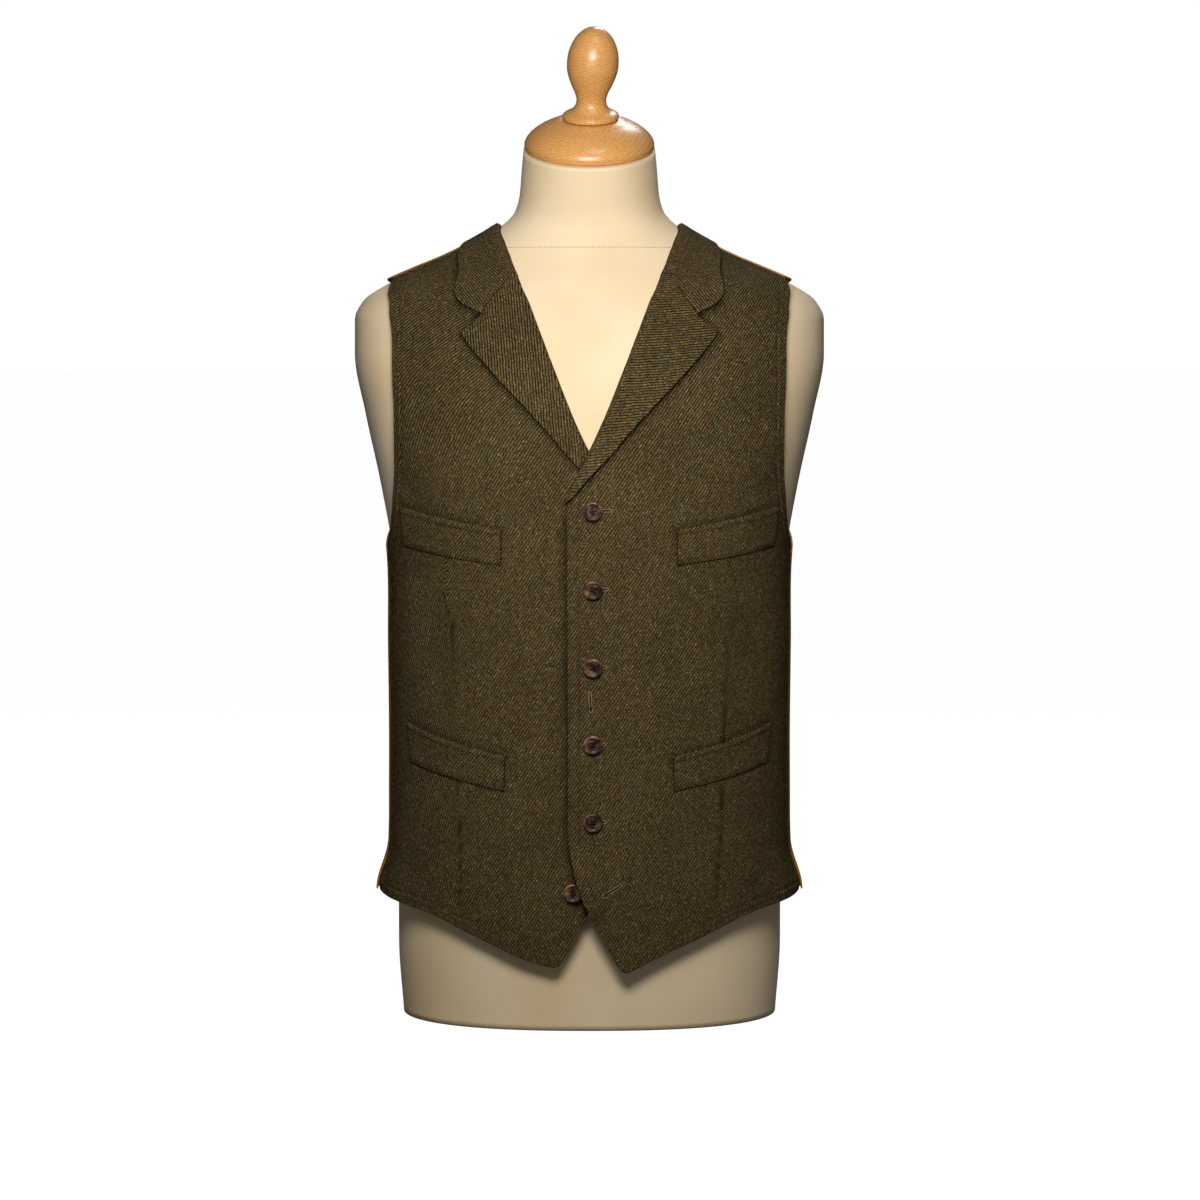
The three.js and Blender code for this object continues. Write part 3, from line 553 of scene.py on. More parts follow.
def set_ramp(node, stops, interpolation="LINEAR"):
    ramp = node.color_ramp
    ramp.interpolation = interpolation
    ramp.elements[0].position = stops[0][0]
    ramp.elements[1].position = stops[-1][0]
    for place, _ in stops[1:-1]:
        ramp.elements.new(place)
    for element, (_, colour) in zip(ramp.elements, stops):
        element.color = linear(colour) if isinstance(colour, str) else colour


@functools.cache
def woollen_twill():
    """Woollen twill: mixed yarns in diagonal ribs, matt and a little hairy."""
    cloth = bpy.context.scene.waistcoat_cloth
    material, tree, shader = new_material("woollen_twill")
    uv = add_node(tree, "ShaderNodeUVMap", uv_map="weave").outputs["UV"]
    # the map counts decimetres, so this makes millimetres with x along the ribs
    along = add_node(
        tree,
        "ShaderNodeMapping",
        {"Vector": uv, "Rotation": (0, 0, math.radians(-cloth.rib_angle)), "Scale": (100, 100, 1)},
    ).outputs["Vector"]
    drift = add_node(
        tree,
        "ShaderNodeTexNoise",
        {"Vector": along, "Scale": 0.09, "Detail": 2.0},
        noise_dimensions="2D",
    ).outputs["Fac"]
    parts = add_node(tree, "ShaderNodeSeparateXYZ", {"Vector": along}).outputs
    shifted = add_node(
        tree, "ShaderNodeMath", {0: drift, 1: 1.3, 2: parts["Y"]}, operation="MULTIPLY_ADD"
    ).outputs[0]
    turns = add_node(
        tree, "ShaderNodeMath", {0: shifted, 1: 2 * math.pi / cloth.rib_pitch}, operation="MULTIPLY"
    ).outputs[0]
    wave = add_node(tree, "ShaderNodeMath", {0: turns}, operation="SINE").outputs[0]
    # the ribs are broad and the lines between them narrow
    low = add_node(
        tree, "ShaderNodeMath", {0: wave, 1: -0.5, 2: 0.5}, operation="MULTIPLY_ADD"
    ).outputs[0]
    line = add_node(tree, "ShaderNodeMath", {0: low, 1: 1.8}, operation="POWER").outputs[0]
    # one cell is one float of yarn, a little over 1 mm along the rib
    float_place = add_node(
        tree,
        "ShaderNodeMapping",
        {"Vector": along, "Scale": (1 / 0.95, 2.4 / cloth.rib_pitch, 1)},
    ).outputs["Vector"]
    floats = add_node(
        tree,
        "ShaderNodeTexVoronoi",
        {"Vector": float_place, "Scale": 1.0, "Randomness": 0.85},
        voronoi_dimensions="2D",
        feature="F1",
    ).outputs["Color"]
    pick = add_node(tree, "ShaderNodeSeparateColor", {"Color": floats}).outputs
    yarn = add_node(tree, "ShaderNodeValToRGB", {"Fac": pick["Red"]})
    set_ramp(
        yarn,
        [
            (0.0, "#41351f"),
            (0.2, "#4e4127"),
            (0.46, "#584a2c"),
            (0.64, "#48462c"),
            (0.74, "#614328"),
            (0.83, "#655535"),
            (0.92, "#4d5044"),
            (0.965, "#73664c"),
        ],
        "CONSTANT",
    )
    # the ribs stand out where the cloth is stretched over the shoulders, and are grainy below
    height_up = add_node(
        tree, "ShaderNodeSeparateXYZ", {"Vector": add_node(tree, "ShaderNodeTexCoord").outputs["Object"]}
    ).outputs["Z"]
    crisp = add_node(
        tree,
        "ShaderNodeMapRange",
        {"Value": height_up, "From Min": 0.42, "From Max": 0.56, "To Min": 0.88, "To Max": 1.14},
    ).outputs["Result"]
    line = add_node(tree, "ShaderNodeMath", {0: line, 1: crisp}, operation="MULTIPLY").outputs[0]
    grain = add_node(
        tree, "ShaderNodeMapRange", {"Value": pick["Green"], "To Min": 0.58, "To Max": 1.44}
    ).outputs["Result"]
    ribbed = add_node(
        tree,
        "ShaderNodeMapRange",
        {"Value": line, "To Min": 1.36, "To Max": 0.16},
    ).outputs["Result"]
    shade = add_node(tree, "ShaderNodeMath", {0: ribbed, 1: grain}, operation="MULTIPLY").outputs[0]
    patchy = add_node(
        tree, "ShaderNodeTexNoise", {"Vector": along, "Scale": 0.02, "Detail": 3.0}, noise_dimensions="2D"
    ).outputs["Fac"]
    tone = add_node(
        tree, "ShaderNodeMapRange", {"Value": patchy, "From Min": 0.3, "From Max": 0.7, "To Min": 0.93, "To Max": 1.07}
    ).outputs["Result"]
    depth = add_node(tree, "ShaderNodeMath", {0: shade, 1: tone}, operation="MULTIPLY").outputs[0]
    # painted shade: the cloth is darkened in its seams and beside its edges, where shadow falls
    painted_shade = add_node(tree, "ShaderNodeAttribute", attribute_name="painted_shade").outputs["Fac"]
    unshaded = add_node(
        tree, "ShaderNodeMapRange", {"Value": painted_shade, "To Min": 1.0, "To Max": 0.2}
    ).outputs["Result"]
    depth = add_node(tree, "ShaderNodeMath", {0: depth, 1: unshaded}, operation="MULTIPLY").outputs[0]
    coloured = add_node(
        tree,
        "ShaderNodeVectorMath",
        {0: yarn.outputs["Color"]},
        operation="SCALE",
    )
    tree.links.new(depth, coloured.inputs["Scale"])
    tree.links.new(coloured.outputs["Vector"], shader.inputs["Base Color"])
    fuzz = add_node(
        tree, "ShaderNodeTexNoise", {"Vector": along, "Scale": 1.4, "Detail": 3.0}, noise_dimensions="2D"
    ).outputs["Fac"]
    height = add_node(
        tree, "ShaderNodeMath", {0: line, 1: -0.8, 2: fuzz}, operation="MULTIPLY_ADD"
    ).outputs[0]
    bump = add_node(
        tree, "ShaderNodeBump", {"Height": height, "Strength": 0.5, "Distance": 0.0004}
    ).outputs["Normal"]
    tree.links.new(bump, shader.inputs["Normal"])
    shader.inputs["Roughness"].default_value = 0.95
    shader.inputs["Specular IOR Level"].default_value = 0.06
    return material


@functools.cache
def acetate_satin():
    """Acetate satin: long floats on the face, so it shines in bands along its folds."""
    material, tree, shader = new_material("acetate_satin")
    uv = add_node(tree, "ShaderNodeUVMap", uv_map="weave").outputs["UV"]
    # threads are 0.15 mm apart, drawn at 0.8 mm so that they show
    place = add_node(
        tree, "ShaderNodeMapping", {"Vector": uv, "Scale": (125, 12, 1)}
    ).outputs["Vector"]
    threads = add_node(
        tree, "ShaderNodeTexNoise", {"Vector": place, "Scale": 1.0, "Detail": 3.0}, noise_dimensions="2D"
    ).outputs["Fac"]
    tint = add_node(tree, "ShaderNodeValToRGB", {"Fac": threads})
    set_ramp(tint, [(0.3, "#a8650a"), (0.7, "#cf8a14")])
    tree.links.new(tint.outputs["Color"], shader.inputs["Base Color"])
    bump = add_node(
        tree, "ShaderNodeBump", {"Height": threads, "Strength": 0.18, "Distance": 0.0003}
    ).outputs["Normal"]
    tree.links.new(bump, shader.inputs["Normal"])
    shader.inputs["Roughness"].default_value = 0.42
    shader.inputs["Specular IOR Level"].default_value = 0.3
    shader.inputs["Specular Tint"].default_value = linear("#ffd98a")
    shader.inputs["Anisotropic"].default_value = 0.5
    return material


@functools.cache
def cotton_jersey():
    """Fine cotton jersey pulled over the padded form: matt, with faint upright wales."""
    material, tree, shader = new_material("cotton_jersey")
    place = add_node(tree, "ShaderNodeTexCoord").outputs["Object"]
    # wales are 0.7 mm apart, drawn at 1.2 mm so that they show
    wale_place = add_node(
        tree, "ShaderNodeMapping", {"Vector": place, "Scale": (830, 830, 200)}
    ).outputs["Vector"]
    wales = add_node(
        tree, "ShaderNodeTexNoise", {"Vector": wale_place, "Scale": 1.0, "Detail": 2.0}
    ).outputs["Fac"]
    soiling = add_node(
        tree, "ShaderNodeTexNoise", {"Vector": place, "Scale": 9.0, "Detail": 3.0}
    ).outputs["Fac"]
    tint = add_node(tree, "ShaderNodeValToRGB", {"Fac": soiling})
    set_ramp(tint, [(0.35, "#ecd0a4"), (0.65, "#f3dcb6")])
    tree.links.new(tint.outputs["Color"], shader.inputs["Base Color"])
    bump = add_node(
        tree, "ShaderNodeBump", {"Height": wales, "Strength": 0.25, "Distance": 0.0002}
    ).outputs["Normal"]
    tree.links.new(bump, shader.inputs["Normal"])
    shader.inputs["Roughness"].default_value = 0.85
    shader.inputs["Specular IOR Level"].default_value = 0.2
    shader.inputs["Sheen Weight"].default_value = 0.1
    return material


@functools.cache
def lacquered_beech():
    """Steamed beech, turned and lacquered: pink-brown growth rings with short dark flecks."""
    material, tree, shader = new_material("lacquered_beech")
    place = add_node(tree, "ShaderNodeTexCoord").outputs["Object"]
    # the board is cut so that its rings show as nested ovals on the cap's left
    centred = add_node(
        tree,
        "ShaderNodeMapping",
        {"Vector": place, "Location": (0.019, 0.0, -0.76), "Scale": (0.62, 0.12, 1.03)},
    ).outputs["Vector"]
    wander = add_node(
        tree, "ShaderNodeTexNoise", {"Vector": centred, "Scale": 22.0, "Detail": 2.0}
    ).outputs["Fac"]
    far = add_node(tree, "ShaderNodeVectorMath", {0: centred}, operation="LENGTH").outputs["Value"]
    # growth rings are about 2.5 mm wide
    ring = add_node(
        tree, "ShaderNodeMath", {0: far, 1: 2 * math.pi / 0.0025}, operation="MULTIPLY"
    ).outputs[0]
    ring = add_node(
        tree, "ShaderNodeMath", {0: wander, 1: 7.0, 2: ring}, operation="MULTIPLY_ADD"
    ).outputs[0]
    ring = add_node(tree, "ShaderNodeMath", {0: ring}, operation="SINE").outputs[0]
    fleck_place = add_node(
        tree, "ShaderNodeMapping", {"Vector": place, "Scale": (330, 330, 1300)}
    ).outputs["Vector"]
    flecks = add_node(
        tree, "ShaderNodeTexNoise", {"Vector": fleck_place, "Scale": 1.0, "Detail": 2.0}
    ).outputs["Fac"]
    flecks = add_node(
        tree, "ShaderNodeMapRange", {"Value": flecks, "To Min": 0.28, "To Max": 0.78}
    ).outputs["Result"]
    mixed = add_node(
        tree, "ShaderNodeMath", {0: ring, 1: 0.038, 2: flecks}, operation="MULTIPLY_ADD"
    ).outputs[0]
    tint = add_node(tree, "ShaderNodeValToRGB", {"Fac": mixed})
    set_ramp(tint, [(0.3, "#c47c3a"), (0.46, "#dc9a50"), (0.58, "#e6aa62"), (0.75, "#eeba78")])
    tree.links.new(tint.outputs["Color"], shader.inputs["Base Color"])
    shader.inputs["Roughness"].default_value = 0.4
    shader.inputs["Coat Weight"].default_value = 0.45
    shader.inputs["Coat Roughness"].default_value = 0.22
    return material


@functools.cache
def horn_resin():
    """Polyester cast to look like horn: mottled brown, polished."""
    material, tree, shader = new_material("horn_resin")
    place = add_node(tree, "ShaderNodeTexCoord").outputs["Object"]
    mottle = add_node(
        tree,
        "ShaderNodeTexNoise",
        {"Vector": place, "Scale": 150.0, "Detail": 4.0, "Distortion": 0.8},
    ).outputs["Fac"]
    # the map runs from -1 to 1 over the button's face; painted light: the face is paler up and to the left, where
    # light falls on it, and darker down and to the right
    face = add_node(tree, "ShaderNodeUVMap", uv_map="face").outputs["UV"]
    painted_light_side = add_node(
        tree, "ShaderNodeVectorMath", {0: face, 1: (-0.05, 0.06, 0)}, operation="DOT_PRODUCT"
    ).outputs["Value"]
    mixed = add_node(tree, "ShaderNodeMath", {0: mottle, 1: painted_light_side}, operation="ADD").outputs[0]
    tint = add_node(tree, "ShaderNodeValToRGB", {"Fac": mixed})
    set_ramp(
        tint,
        [(0.3, "#181010"), (0.43, "#35241e"), (0.52, "#543b2e"), (0.62, "#79563f"), (0.74, "#9d7557")],
    )
    tree.links.new(tint.outputs["Color"], shader.inputs["Base Color"])
    shader.inputs["Roughness"].default_value = 0.28
    shader.inputs["Specular IOR Level"].default_value = 0.5
    return material


@functools.cache
def plain_thread_or_shade(name, colour, roughness=0.8):
    """Twisted polyester sewing thread, or the painted shade in a buttonhole's opening: one dull colour, with its twist
    too fine to show.
    """
    material, tree, shader = new_material(name)
    place = add_node(tree, "ShaderNodeTexCoord").outputs["Object"]
    twist = add_node(
        tree, "ShaderNodeTexNoise", {"Vector": place, "Scale": 1800.0, "Detail": 1.0}
    ).outputs["Fac"]
    tint = add_node(tree, "ShaderNodeValToRGB", {"Fac": twist})
    base = np.array(linear(colour)[:3])
    set_ramp(tint, [(0.3, (*(base * 0.7), 1)), (0.7, (*np.minimum(base * 1.2, 1), 1))])
    tree.links.new(tint.outputs["Color"], shader.inputs["Base Color"])
    shader.inputs["Roughness"].default_value = roughness
    return material


# Cloth pieces


def over_lift(angle, z):
    """How far the upper front rides over the under front, its lapel and its loose button."""
    x = np.where(np.cos(angle) > 0, across_at(angle, z), 1e6)
    stack = LAYER_GAP + 0.15 + FRONT_CLOTH
    lapel_stack = LAYER_GAP + SLACK + LAPEL_CLOTH
    over_lapel = smoothstep(z, 392, 426) * (1 - smoothstep(z, 488, 545))
    above = 1 - smoothstep(z, 480, 540)
    away = np.hypot(x - LOOSE_BUTTON[0], z - LOOSE_BUTTON[1])
    over_button = 4.4 * (1 - smoothstep(away, 12, 38))
    near = 1 - smoothstep(x, 26, 84)
    return near * (stack * above + lapel_stack * over_lapel) + over_button


def no_lift(angle, z):
    return np.zeros(np.broadcast(angle, z).shape)


def vent_flare(angle, z, far):
    """How far a lower corner beside the side seam swings out where the vent opens."""
    low = 1 - smoothstep(z, SIDE_CORNER, VENT_TOP + 6)
    away = np.abs(np.abs(angle) - math.radians(SIDE_SEAM))
    return far * low * (1 - smoothstep(away, 0, math.radians(FLARE_REACH)))


def roll_paths(break_point):
    neck = (math.radians(SHOULDER_SEAM) - SEAM_GAP / 2 / NECK_ARC, NECK_POINT)
    whole = path_through([neck, *on_front(ROLL_LINE), *on_front([break_point])])
    share = 0.0
    while whole(share)[1] > GORGE_TOP:
        share += 0.001
    return (
        lambda t: whole(np.asarray(t) * share),
        lambda t: whole(share + np.asarray(t) * (1 - share)),
    )


def front_area(edge, break_point, tip):
    collar, lapel = roll_paths(break_point)
    seam = math.radians(SHOULDER_SEAM) - SEAM_GAP / 2 / NECK_ARC
    side = math.radians(SIDE_SEAM) - SEAM_GAP / 2 / SIDE_ARC
    front, hem = on_front(edge), on_front(HEM)
    tip_arc = corner_arc(front[-1], on_front([tip])[0], hem[0], TIP_RADIUS)
    corner = (side, SIDE_CORNER)
    corner_round = corner_arc(hem[-1], corner, (side, SIDE_CORNER + 40), SIDE_CORNER_RADIUS)
    roll = joined(collar, lapel, 8 / 21)
    front_edge = path_through([*on_front([break_point]), *front, tip_arc[0]])
    armhole = path_through([(seam, SHOULDER_POINT), *on_front(ARMHOLE), (side, ARMPIT)])
    side_seam = path_through([(side, ARMPIT), corner_round[-1]])
    return patch(
        top=path_through([tuple(collar(0.0)), (seam, SHOULDER_POINT)]),
        bottom=path_through([*tip_arc, *hem, *corner_round]),
        inner=joined(roll, front_edge, 21 / 34),
        outer=joined(armhole, side_seam, 0.46),
    )


def worn_relief(angle, z, side):
    """The fine shape of a front away from its edges: dart, creases, buttons and the front edge."""
    x = np.where(np.cos(angle) > 0, across_at(angle, z), 1e6)
    dart = distance_to_line(np.abs(x), z, DART_LEFT if side > 0 else DART_RIGHT)
    height = 0.5 * np.exp(-((dart / 5.0) ** 2)) - 1.5 * np.exp(-((dart / 0.8) ** 2))
    for top, foot in (UPPER_WELT, LOWER_WELT):
        mouth = distance_to_line(np.abs(x), z, top)
        end = distance_to_line(np.abs(x), z, [top[0], foot[0]])
        height = height - 1.0 * np.exp(-((mouth / 3) ** 2)) - 0.8 * np.exp(-((end / 1.6) ** 2))
    height = height + dents(x, z, CREASES)
    edge = distance_to_line(x, z, [*OVER_EDGE, OVER_TIP])
    below = 1 - smoothstep(z, 395, 425)
    if side < 0:
        return height - 1.7 * below * np.exp(-(((edge - 4) / 6) ** 2))
    height = height + 0.9 * below * np.exp(-(((edge - 4.5) / 3.5) ** 2))
    for button_z in BUTTON_HEIGHTS:
        near = np.hypot(x - BUTTON_LINE, z - button_z)
        beside = np.exp(-(((np.abs(x - BUTTON_LINE) - 16) / 12) ** 2))
        height = height - 0.5 * np.exp(-((near / 10) ** 2))
        height = height + 0.25 * beside * np.exp(-(((z - button_z) / 4) ** 2))
    return height


def front_painted_shade(angle, z, side, rim):
    """Painted shade on a front, from 0 to 1: darker in its dart, at its stitches and beside what lies on it, where
    shadow falls.
    """
    x = np.where(np.cos(angle) > 0, across_at(angle, z), 1e6)
    dart = distance_to_line(np.abs(x), z, DART_LEFT if side > 0 else DART_RIGHT)
    dark = 0.8 * np.exp(-((dart / 0.9) ** 2)) + 0.3 * np.exp(-(((rim - 9.4) / 0.9) ** 2))
    # painted shade above each welt's mouth and beside its inner end
    for top, foot in (UPPER_WELT, LOWER_WELT):
        mouth = distance_to_line(np.abs(x), z, top)
        end = distance_to_line(np.abs(x), z, [top[0], foot[0]])
        dark = dark + 0.45 * np.exp(-((mouth / 2.6) ** 2)) + 0.3 * np.exp(-((end / 1.8) ** 2))
    # painted shadows of the lapel's and the collar's edges on the front
    lapel = distance_to_line(x * side, z, [NOTCH, LAPEL_CORNER, *LAPEL_EDGE, OVER_BREAK])
    collar = distance_to_line(x * side, z, [*COLLAR_EDGE, COLLAR_CORNER, NOTCH])
    dark = dark + 0.75 * np.exp(-((lapel / 3.2) ** 2)) + 0.7 * np.exp(-((collar / 4) ** 2))
    # painted shadow of the upper front's edge, on the under front beside it
    if side < 0:
        edge = distance_to_line(x, z, [*OVER_EDGE, OVER_TIP])
        dark = dark + 0.7 * (1 - smoothstep(z, 415, 435)) * np.exp(-((edge / 4.5) ** 2))
    return np.minimum(dark, 1)


def edge_relief(rim, radius):
    """A turned edge: rounded over, with the ridge and furrow of the stitches 8 mm inside it."""
    ridge = 0.5 * np.exp(-(((rim - 7.2) / 1.3) ** 2))
    return ridge - 0.5 * np.exp(-(((rim - 9.4) / 1.1) ** 2)) - round_edge(rim, radius)


def swung(across, up, pivot, degrees):
    """Turns places on the cloth about a pivot, by an angle that may vary from place to place."""
    c, s = np.cos(np.radians(degrees)), np.sin(np.radians(degrees))
    right, above = across - pivot[0], up - pivot[1]
    return pivot[0] + right * c + above * s, pivot[1] + above * c - right * s


def front_weave(angle, z, side):
    """The weave's measures on a front: it turns at the dart, and on the right shoulder."""
    across, up = fabric_mm(angle, z)
    x = np.where(np.cos(angle) > 0, np.abs(across_at(angle, z)), 1e6)
    heights, places = (np.array(v, float)[::-1] for v in zip(*[(b, a) for a, b in DART_LEFT]))
    beyond = (x > np.interp(z, heights, places)) * (1 - smoothstep(z, 300, 420))
    apex = fabric_mm(np.array(angle_at(118, 345) * side), np.array(345.0))
    across, up = swung(across, up, apex, beyond * (15 if side < 0 else -6))
    if side < 0:
        shoulder = fabric_mm(np.array(-angle_at(112, 545)), np.array(545.0))
        across, up = swung(across, up, shoulder, -20 * smoothstep(z, 455, 560))
    return turned_uv(across, up, 0)


def add_front(name, side, edge, break_point, tip, lift):
    area = front_area(edge, break_point, tip)
    edges = [(0, 1.5, 0.35), (0, 11, 1.1), (182, 1.5, 0.35), (182, 11, 1.1)]
    us = shares(182, 2.7, [*edges, (122, 11, 0.75)])
    vs = shares(610, 2.5, [(0, 1.5, 0.5), (610, 1.5, 0.4), (610, 12, 1.1)])
    place = area(us[None, :], vs[:, None])
    angle, z = place[..., 0] * side, place[..., 1]
    layer = lift(angle, z) + vent_flare(angle, z, FRONT_FLARE)
    base = cloth_point(angle, z, layer)
    rim = rim_distance(base)
    relief = worn_relief(angle, z, side) + edge_relief(rim, 1.1)
    outer = cloth_point(angle, z, layer + relief)
    inner = cloth_point(angle, z, layer - FRONT_CLOTH + round_edge(rim, 0.9))
    uv = np.concatenate([front_weave(angle, z, side).reshape(-1, 2)] * 2)
    points = np.concatenate([outer.reshape(-1, 3), inner.reshape(-1, 3)])
    # painted shade on the outer face, none on the inner
    dark = np.concatenate([front_painted_shade(angle, z, side, rim), np.zeros_like(z)])
    return new_object(name, points, wall_faces(*z.shape), woollen_twill(), uv, painted_shade=dark)


def back_area():
    inset = SEAM_GAP / 2
    seam = math.radians(SHOULDER_SEAM) + inset / NECK_ARC
    side = math.radians(SIDE_SEAM) + inset / SIDE_ARC

    def centre(z):
        return np.stack([math.pi - inset / HALF(z), np.asarray(z, float)], -1)

    neck_curve = [tuple(centre(NAPE)), *[(math.radians(a), z) for a, z in BACK_NECK], (seam, NECK_POINT)]
    armhole = [(math.pi - angle_at(x, z), z) for x, z in BACK_ARMHOLE]
    hem = [(math.radians(a), z) for a, z in BACK_HEM]
    return patch(
        top=joined(path_through(neck_curve), path_through([(seam, NECK_POINT), (seam, SHOULDER_POINT)]), 0.5),
        bottom=path_through([tuple(centre(BACK_HEM_CENTRE)), *hem, (side, SIDE_CORNER)]),
        inner=lambda t: centre(NAPE + (BACK_HEM_CENTRE - NAPE) * np.asarray(t)),
        outer=joined(
            path_through([(seam, SHOULDER_POINT), *armhole, (side, ARMPIT)]),
            path_through([(side, ARMPIT), (side, SIDE_CORNER)]),
            BACK_ARMHOLE_SHARE,
        ),
        flat=lambda p: np.stack([(math.pi - p[..., 0]) * HALF(p[..., 1]), p[..., 1]], -1),
        rounded=lambda p: np.stack([math.pi - p[..., 0] / HALF(p[..., 1]), p[..., 1]], -1),
    )


# Drag lines in the satin: angle, height, across, along, lean, depth
SATIN_CREASES = [
    (150, 430, 5, 60, 16, -0.8),
    (128, 470, 6, 50, 24, -0.9),
    (112, 350, 6, 60, -14, -0.8),
    (136, 320, 5, 90, 4, -0.9),
    (163, 290, 5, 80, -5, -0.8),
    (170, 560, 5, 50, 10, -0.5),
    (145, 575, 5, 46, 30, -0.5),
    (104, 240, 5, 60, 8, -0.7),
    (128, 200, 6, 60, -8, -0.8),
    (156, 170, 6, 60, 6, -0.7),
]


def add_back(name, side):
    area = back_area()
    us = shares(300, 3.6, [(0, 2, 0.6), (300, 2, 0.5)])
    vs = shares(600, 3.6, [(0, 2, 0.6), (600, 2, 0.5)])
    place = area(us[None, :], vs[:, None])
    angle, z = place[..., 0] * side, place[..., 1]
    layer = vent_flare(angle, z, BACK_FLARE)
    base = cloth_point(angle, z, layer)
    rim = rim_distance(base)
    table = [(math.radians(a) * FOLD_ARC, *rest) for a, *rest in SATIN_CREASES]
    wrinkles = dents(np.abs(angle) * FOLD_ARC, z, table) * smoothstep(rim, 2, 25)
    outer = cloth_point(angle, z, layer + wrinkles - round_edge(rim, 0.55))
    inner = cloth_point(angle, z, layer - BACK_CLOTH + np.maximum(wrinkles, 0) + round_edge(rim, 0.5))
    across, up = fabric_mm(angle, z)
    from_centre = fabric_mm(np.full_like(z, side * math.pi), z)[0] - across
    uv = np.concatenate([turned_uv(from_centre, up, 0).reshape(-1, 2)] * 2)
    points = np.concatenate([outer.reshape(-1, 3), inner.reshape(-1, 3)])
    return new_object(name, points, wall_faces(*z.shape), acetate_satin(), uv)


def underside(distance, share, swell, edge_lift):
    roll = swell * np.exp(-(((distance - 3) / 9) ** 2))
    slack = SLACK * smoothstep(share, 0, 0.2)
    return LAYER_GAP + slack + roll + edge_lift * smoothstep(share, 0.55, 1)


def add_turned(name, side, area, length, lift, swell, edge_lift, grain):
    """A lapel or collar half: it wraps the front's edge at the roll and lies on the front."""
    vs = shares(length, 2.0, [(0, 1.5, 0.5), (length, 1.5, 0.5)])
    us = shares(70, 2.0, [(0, 6, 0.9), (70, 1.5, 0.35), (70, 8, 0.9)])
    place = area(us[None, :], vs[:, None])
    angle, z = place[..., 0] * side, place[..., 1]
    lifted = lift(angle, z)
    face = cloth_point(angle, z, np.zeros_like(z))
    distance = np.linalg.norm(face - face[:, :1], axis=-1)
    swells, lifts = swell(vs)[:, None], edge_lift(vs)[:, None]
    low = underside(distance, us[None, :], swells, lifts)
    start_angle, start_z = angle[:, :1], z[:, :1]
    before = area(np.zeros(1), np.maximum(vs - 0.02, 0)[:, None])
    after = area(np.zeros(1), np.minimum(vs + 0.02, 1)[:, None])
    along = cloth_point(after[..., 0] * side, after[..., 1], np.zeros_like(start_z)) - cloth_point(
        before[..., 0] * side, before[..., 1], np.zeros_like(start_z)
    )
    away = np.cross(along, form_normal(start_angle, start_z))
    away = side * away / np.linalg.norm(away, axis=-1, keepdims=True)
    turn = np.linspace(0, 1, 9)[:-1][None, :] * math.pi / 2
    crest = low[:, :1] + LAPEL_CLOTH

    def wrap(reach, top):
        out, up = reach * np.cos(turn), -FRONT_CLOTH + (top + FRONT_CLOTH) * np.sin(turn)
        here = cloth_point(start_angle, start_z, lifted[:, :1] + up)
        return here + away * out[..., None]

    rim = rim_distance(face)
    free = np.where(distance < 6, 99, rim)
    ridge = 0.35 * np.exp(-(((free - 6.5) / 1.2) ** 2)) - 0.35 * np.exp(-(((free - 8.5) / 0.9) ** 2))
    top_face = cloth_point(angle, z, lifted + low + LAPEL_CLOTH + ridge - round_edge(free, 0.9))
    under_face = cloth_point(angle, z, lifted + low + round_edge(free, 0.7))
    outer = np.concatenate([wrap(2.65, crest), top_face], 1)
    inner = np.concatenate([wrap(SEAM_GAP + 0.1, low[:, :1]), under_face], 1)
    across, up = fabric_mm(angle, z)
    edge_uv = turned_uv(across, up, grain)
    roll_away = (math.pi / 2 - turn) * 2.9
    first, second = edge_uv[:, :1], edge_uv[:, 1:2]
    step = (second - first) / np.maximum(np.linalg.norm(second - first, axis=-1, keepdims=True), 1e-6)
    wrap_uv = first - step * roll_away[..., None] / 100
    uv = np.concatenate([wrap_uv, edge_uv], 1).reshape(-1, 2)
    points = np.concatenate([outer.reshape(-1, 3), inner.reshape(-1, 3)])
    faces = wall_faces(outer.shape[0], outer.shape[1])
    return new_object(name, points, faces, woollen_twill(), np.concatenate([uv, uv]))


def lapel_area(break_point):
    roll = roll_paths(break_point)[1]
    notch, corner_at = on_front([NOTCH])[0], on_front([LAPEL_CORNER])[0]
    edge = on_front(LAPEL_EDGE)
    corner = corner_arc(notch, corner_at, edge[0], 2.5, 6)
    end = roll(1.0)
    reach = np.array([3 / FOLD_ARC, 2.6])
    return patch(
        top=path_through([tuple(roll(0.0)), notch, corner[0]]),
        bottom=lambda t: end + np.asarray(t)[..., None] * reach,
        inner=roll,
        outer=path_through([*corner, *edge, tuple(end + reach)]),
    )


def collar_area(break_point):
    roll = roll_paths(break_point)[0]
    gap = SEAM_GAP + 0.1
    notch = on_front([(NOTCH[0] + gap / 2, NOTCH[1] + gap)])[0]
    seam = math.radians(SHOULDER_SEAM) - SEAM_GAP / 2 / NECK_ARC
    edge = on_front(COLLAR_EDGE)
    corner = corner_arc(edge[1], on_front([COLLAR_CORNER])[0], notch, 3.5, 8)
    foot = roll(1.0) + np.array([gap / 2 / FOLD_ARC, gap])

    def inner(t):
        t = np.asarray(t, float)
        blend = smoothstep(t, 0.9, 1.0)[..., None]
        return roll(t) * (1 - blend) + foot * blend

    return patch(
        top=path_through([tuple(roll(0.0)), (seam, COLLAR_AT_SEAM)]),
        bottom=path_through([tuple(foot), notch]),
        inner=inner,
        outer=path_through([(seam, COLLAR_AT_SEAM), *edge, *corner, notch]),
    )


